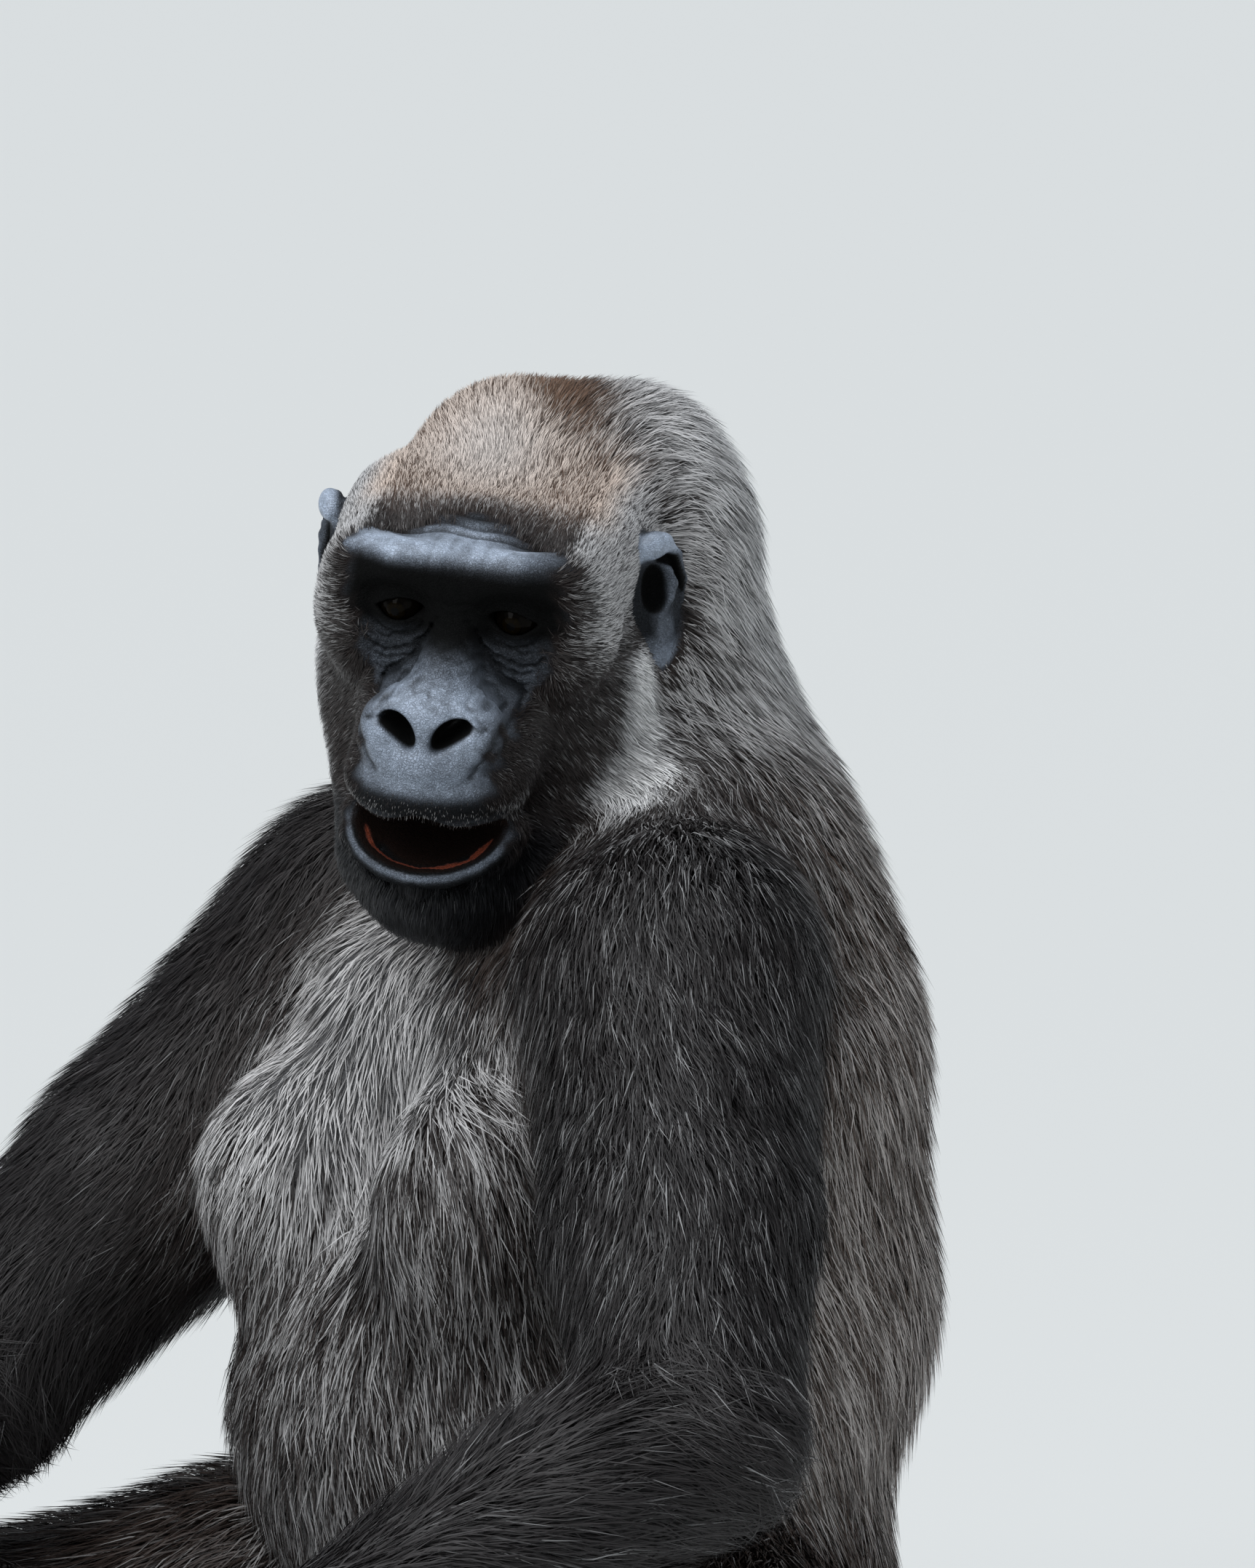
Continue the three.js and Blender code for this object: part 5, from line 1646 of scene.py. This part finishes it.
@cache
def hair_tone() -> bpy.types.NodeTree:
    """Colour of the coat from its masks: black or brown hair, grizzled by pale tufts and pale tips, with
    painted shade toward the roots and on the tufts of the gaps between clumps.
    """
    group = Group("hair_tone", dict.fromkeys(("Brown", "Pale", "Along", "Draw"), NUMBER), {"Color": COLOUR})
    nodes = group.nodes
    brown, pale, along, draw = group.given.values()
    dark = nodes.mix(brown, (0.013, 0.014, 0.0165), (0.17, 0.098, 0.062))
    light = nodes.mix(brown, (0.60, 0.61, 0.625), (0.74, 0.61, 0.52))
    light = nodes.mix(nodes.span(pale, 0.2, 0.95, 0.35, 1.0), (0.10, 0.10, 0.10), light)
    light = nodes.mix(nodes.span(pale, 1.0, 1.35), light, (0.95, 0.95, 0.95))
    odds = nodes.minus(1.02, nodes.times(pale, 0.98))
    picked = nodes.span(nodes.minus(draw, odds), -0.16, 0.16)
    tipped = nodes.times(picked, nodes.span(along, -0.1, 0.75, 0.3, 1.0))
    tone = nodes.mix(tipped, dark, light)
    # Painted shade: darker toward the roots and on low draws, which stand for the gaps between clumps.
    shade = nodes.times(nodes.span(along, 0.0, 0.6, 0.6, 1.0), nodes.span(draw, 0.15, 0.60, 0.5, 1.06))
    return group.closed(Color=nodes.mix(1.0, tone, nodes.grey(shade), "MULTIPLY"))


@cache
def mottle() -> bpy.types.NodeTree:
    """Uneven tone over a colour."""
    group = Group("mottle", {"Color": COLOUR, "Place": VECTOR, "Scale": NUMBER, "Amount": NUMBER},
                  {"Color": COLOUR, "Mask": NUMBER})
    nodes = group.nodes
    colour, place, scale, amount = group.given.values()
    broad = nodes.noise(place, scale, 4.0)
    fine = nodes.noise(place, nodes.times(scale, 5.3), 2.0)
    mask = nodes.plus(nodes.times(broad, 0.65), nodes.times(fine, 0.35))
    swing = nodes.plus(1.0, nodes.times(nodes.minus(mask, 0.5), amount))
    return group.closed(Color=nodes.mix(1.0, colour, nodes.grey(swing), "MULTIPLY"), Mask=mask)


@cache
def leather() -> bpy.types.NodeTree:
    """Height of fine creases and pores of bare skin, and where its creases lie, which the skin darkens as
    painted shade.
    """
    group = Group("leather", {"Place": VECTOR, "Scale": NUMBER, "Creases": NUMBER},
                  {"Height": NUMBER, "Cracks": NUMBER})
    nodes = group.nodes
    place, scale, creases = group.given.values()
    bent = nodes.add("ShaderNodeVectorMath", Vector=place)
    bent.operation = "ADD"
    nodes.feed(bent.inputs[1], nodes.add("ShaderNodeTexNoise", Vector=place, Scale=9.0).outputs[1])
    lines = nodes.cracks(nodes.stretched(bent.outputs[0], (0.5, 1.0, 1.2)), scale)
    grain = nodes.cracks(nodes.stretched(place, (0.6, 1.0, 1.1)), nodes.times(scale, 2.7))
    pores = nodes.noise(place, nodes.times(scale, 6.0), 2.0)
    creased = nodes.times(nodes.span(lines, 0.0, 0.13), creases)
    height = nodes.plus(creased, nodes.times(nodes.span(grain, 0.0, 0.25), 0.4))
    height = nodes.plus(height, nodes.times(pores, 0.35))
    broad = nodes.times(nodes.span(lines, 0.07, 0.0), creases)
    thin = nodes.times(nodes.span(grain, 0.10, 0.0), 0.45)
    return group.closed(Height=height, Cracks=nodes.calc("MAXIMUM", broad, thin))


def new_material(name: str) -> tuple[bpy.types.Material, Nodes, bpy.types.Node]:
    """Starts a material with a plain shader.

    Args:
        name: The material's name.

    Returns:
        The material, its nodes and its Principled shader.
    """
    material = bpy.data.materials.new(name)
    material.use_nodes = True
    return material, Nodes(material.node_tree), material.node_tree.nodes["Principled BSDF"]


@dataclass(frozen=True)
class SkinFinish:
    """Dark bare skin with a painted blue-grey sheen on its raised places, painted shade in its folds,
    cracks, sockets and nostrils, the lining of the mouth, and the skin under the coat.
    """

    middle: Colour = (0.046, 0.052, 0.062)
    # Painted sheen: a pale blue-grey that stands for the sky's reflection on the raised places of the face
    # and ears.
    light: Colour = (0.450, 0.530, 0.660)
    # Painted shade in folds, cracks, sockets, nostrils and under the jaw, and the dark skin of the upper
    # lip.
    black: Colour = (0.0018, 0.002, 0.002)
    lining: Colour = (0.010, 0.0045, 0.003)
    inner_lip: Colour = (0.30, 0.070, 0.038)
    furred: float = 0.9
    bare: float = 0.56
    bump: float = 0.0011
    specular: float = 0.10
    sheen_roughness: float = 0.42

    def material(self) -> bpy.types.Material:
        """Builds the material."""
        material, nodes, shader = new_material("skin")
        brown, pale, bare = nodes.masks("marks")[:3]
        hollow, lip, folds, light = nodes.masks("face")
        dark = nodes.masks("tone")[0]
        place = nodes.vector("head_place")
        # Painted sheen: the face is lightened toward the pale blue-grey by its light mask.
        tone = nodes.mix(light, self.middle, self.light)
        flesh = nodes.group(mottle(), Color=tone, Place=place, Scale=3.4, Amount=0.9)
        dull = nodes.span(flesh.outputs["Mask"], 0.60, 0.36, 0.0, 0.4)
        tone = nodes.mix(dull, flesh.outputs["Color"], self.middle)
        creased = nodes.span(light, 0.4, 0.95, 1.0, 0.45)
        grain = nodes.group(leather(), Place=place, Scale=22.0, Creases=creased)
        # Painted shade: the skin darkens toward black in the fine cracks, the folds and the dark mask.
        for mask in (nodes.times(grain.outputs["Cracks"], 0.5), nodes.times(folds, 0.7), dark):
            tone = nodes.mix(mask, tone, self.black)
        coat = nodes.group(hair_tone(), Brown=brown, Pale=nodes.times(pale, 0.8), Along=0.3, Draw=0.45)
        tone = nodes.mix(bare, coat.outputs["Color"], tone)
        tone = nodes.mix(lip, tone, self.inner_lip)
        tone = nodes.mix(nodes.minus(hollow, lip, True), tone, self.lining)
        nodes.feed(shader.inputs["Base Color"], tone)
        rough = nodes.span(bare, 0.2, 0.8, self.furred, self.bare)
        rough = nodes.minus(rough, nodes.times(light, 0.12))
        rough = nodes.plus(rough, nodes.times(dark, 0.25))
        nodes.feed(shader.inputs["Roughness"], nodes.minus(rough, nodes.times(lip, 0.3), True))
        bump = nodes.add("ShaderNodeBump", Strength=0.8, Distance=self.bump, Height=grain.outputs["Height"])
        nodes.feed(shader.inputs["Normal"], bump.outputs[0])
        nodes.feed(shader.inputs["Coat Weight"], nodes.times(nodes.times(light, bare), 0.5))
        shader.inputs["Coat Roughness"].default_value = self.sheen_roughness
        shader.inputs["Specular IOR Level"].default_value = self.specular
        return material


@dataclass(frozen=True)
class CoatFinish:
    """Hair, from black to auburn and grizzled grey."""

    roughness: tuple[float, float] = (0.36, 0.56)
    specular: float = 0.3

    def material(self) -> bpy.types.Material:
        """Builds the material."""
        material, nodes, shader = new_material("coat")
        brown, pale, along, draw = nodes.masks("tint")
        tone = nodes.group(hair_tone(), Brown=brown, Pale=pale, Along=along, Draw=draw)
        nodes.feed(shader.inputs["Base Color"], tone.outputs["Color"])
        nodes.feed(shader.inputs["Roughness"], nodes.span(draw, 0.0, 1.0, *self.roughness))
        shader.inputs["Specular IOR Level"].default_value = self.specular
        return material


@dataclass(frozen=True)
class EyeFinish:
    """A dark brown eye under a wet cornea, its colours darkened further as painted shade of the deep
    sockets.
    """

    white: Colour = (0.002, 0.0015, 0.001)
    iris: Colour = (0.0045, 0.003, 0.0006)
    spoke: Colour = (0.002, 0.0012, 0.0006)
    rim: Colour = (0.001, 0.0008, 0.0006)
    pupil: Colour = (0.002, 0.002, 0.002)
    roughness: float = 0.12
    specular: float = 0.035

    def material(self) -> bpy.types.Material:
        """Builds the material."""
        material, nodes, shader = new_material("eye")
        off, turn = nodes.masks("eye_zone")[:2]
        place = nodes.add("ShaderNodeCombineXYZ", X=nodes.times(turn, 60.0), Y=off).outputs[0]
        tone = nodes.mix(nodes.span(nodes.noise(place, 1.0), 0.3, 0.7), self.iris, self.spoke)
        tone = nodes.mix(nodes.span(off, 0.36, 0.47), tone, self.rim)
        tone = nodes.mix(nodes.span(off, 0.455, 0.49), tone, self.white)
        tone = nodes.mix(nodes.span(off, 0.195, 0.17), tone, self.pupil)
        nodes.feed(shader.inputs["Base Color"], tone)
        shader.inputs["Roughness"].default_value = self.roughness
        shader.inputs["Specular IOR Level"].default_value = self.specular
        return material


# ---------------------------------------------------------------- the studio
@dataclass(frozen=True)
class Studio:
    """Pale floor, soft light and the camera."""

    azimuth: float = 52
    elevation: float = 4
    across: float = 12.8
    height: float = 512.8
    distance: float = 8900
    lens: float = 400
    sensor: float = 36
    far: float = 400
    floor_radius: float = 160000
    floor_sides: int = 96
    floor_colour: Colour = (0.70, 0.71, 0.70)
    sky_colour: Colour = (0.88, 0.94, 1.0)
    sky_strength: float = 0.36
    sun_colour: Colour = (0.96, 0.98, 1.0)
    sun_strength: float = 2.5
    sun_width: float = 75
    sun_way: Triple = (0.15, -0.42, 1.0)
    looked_at: Triple = (0, -0.1, 0.4)

    def build(self) -> None:
        """Sets the scene round the animal."""
        self.floor()
        self.world()
        self.sun()
        self.lamp("key", (0.9, -3.0, 1.9), 1.6, 26)
        self.camera()

    def floor(self) -> None:
        """A wide pale floor."""
        n = self.floor_sides
        k = np.arange(n)
        turns = k * (2 * math.pi / n)
        rim = np.column_stack([np.cos(turns), np.sin(turns), np.zeros(n)]) * self.floor_radius
        points = np.vstack([rim, np.zeros((1, 3))]).astype(np.float32)
        disc = build_object("floor", Mesh(points, np.column_stack([k, (k + 1) % n, np.full(n, n)])))
        material, _, shader = new_material("floor")
        shader.inputs["Base Color"].default_value = (*self.floor_colour, 1)
        shader.inputs["Roughness"].default_value = 0.9
        disc.data.materials.append(material)

    def sun(self) -> None:
        """A very soft light from high on the left."""
        data = bpy.data.lights.new("sky", "SUN")
        data.energy, data.color = self.sun_strength, self.sun_colour
        data.angle = math.radians(self.sun_width)
        lamp = bpy.data.objects.new("sky", data)
        lamp.rotation_euler = Vector(self.sun_way).to_track_quat("Z", "Y").to_euler()
        bpy.context.scene.collection.objects.link(lamp)

    def world(self) -> None:
        """Even light from all round."""
        world = bpy.data.worlds.new("studio")
        world.use_nodes = True
        light = world.node_tree.nodes["Background"]
        light.inputs["Color"].default_value = (*self.sky_colour, 1)
        light.inputs["Strength"].default_value = self.sky_strength
        bpy.context.scene.world = world

    def lamp(self, name: str, at: Triple, size: float, power: float) -> None:
        """A soft square lamp that looks at the animal's chest."""
        data = bpy.data.lights.new(name, "AREA")
        data.shape, data.size, data.energy = "SQUARE", size, power
        lamp = bpy.data.objects.new(name, data)
        lamp.location = at
        lamp.rotation_euler = (Vector(self.looked_at) - Vector(at)).to_track_quat("-Z", "Y").to_euler()
        bpy.context.scene.collection.objects.link(lamp)

    def camera(self) -> None:
        """A long lens from the animal's front left, a little above level."""
        turn, rise = math.radians(self.azimuth), math.radians(self.elevation)
        right = Vector((math.cos(turn), math.sin(turn), 0))
        back = Vector((math.sin(turn) * math.cos(rise), -math.cos(turn) * math.cos(rise), math.sin(rise)))
        up = back.cross(right)
        at = (right * self.across + up * self.height + back * self.distance) * MM
        data = bpy.data.cameras.new("camera")
        data.lens, data.sensor_width, data.sensor_fit = self.lens, self.sensor, "AUTO"
        data.clip_end = self.far
        camera = bpy.data.objects.new("camera", data)
        camera.matrix_world = Matrix.Translation(at) @ Matrix((right, up, back)).transposed().to_4x4()
        bpy.context.scene.collection.objects.link(camera)
        bpy.context.scene.camera = camera
        bpy.context.scene.view_settings.view_transform = "Standard"


# ---------------------------------------------------------------- the whole
@dataclass
class Gorilla:
    """The animal's pieces, each riding on the one body of the model."""

    nodes: list[str]
    flesh: Flesh = Flesh()
    eyes: tuple[str, str] = ("eye_left", "eye_right")
    quick_share: float = 0.25

    def build(self) -> None:
        """Builds the skin, eyes and coat."""
        skin = Skin(self.flesh, Markings(self.flesh))
        skin.grow()
        hide = skin.build(SkinFinish())
        self.own(hide)
        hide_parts(*(name for name in self.nodes if name not in self.eyes))
        finish = EyeFinish()
        for side, name in zip((1, -1), self.eyes):
            ball = Eye(self.flesh.head, side).build(finish)
            self.own(ball)
            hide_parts(name)
        for piece in Coat(skin, share=1.0).build(CoatFinish()):
            self.own(piece)

    def own(self, piece: bpy.types.Object) -> None:
        """Lets a piece ride on the body and logs its faces."""
        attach(piece, "root")
        log.info("%s: %d faces", piece.name, len(piece.data.polygons))


def main() -> None:
    """Loads the frame and builds everything in order."""
    logging.basicConfig(level=logging.INFO, format="%(message)s")
    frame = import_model()
    Gorilla([entry["node"] for entry in frame["record"]["subparts"]]).build()
    Studio().build()


if __name__ == "__main__":
    main()
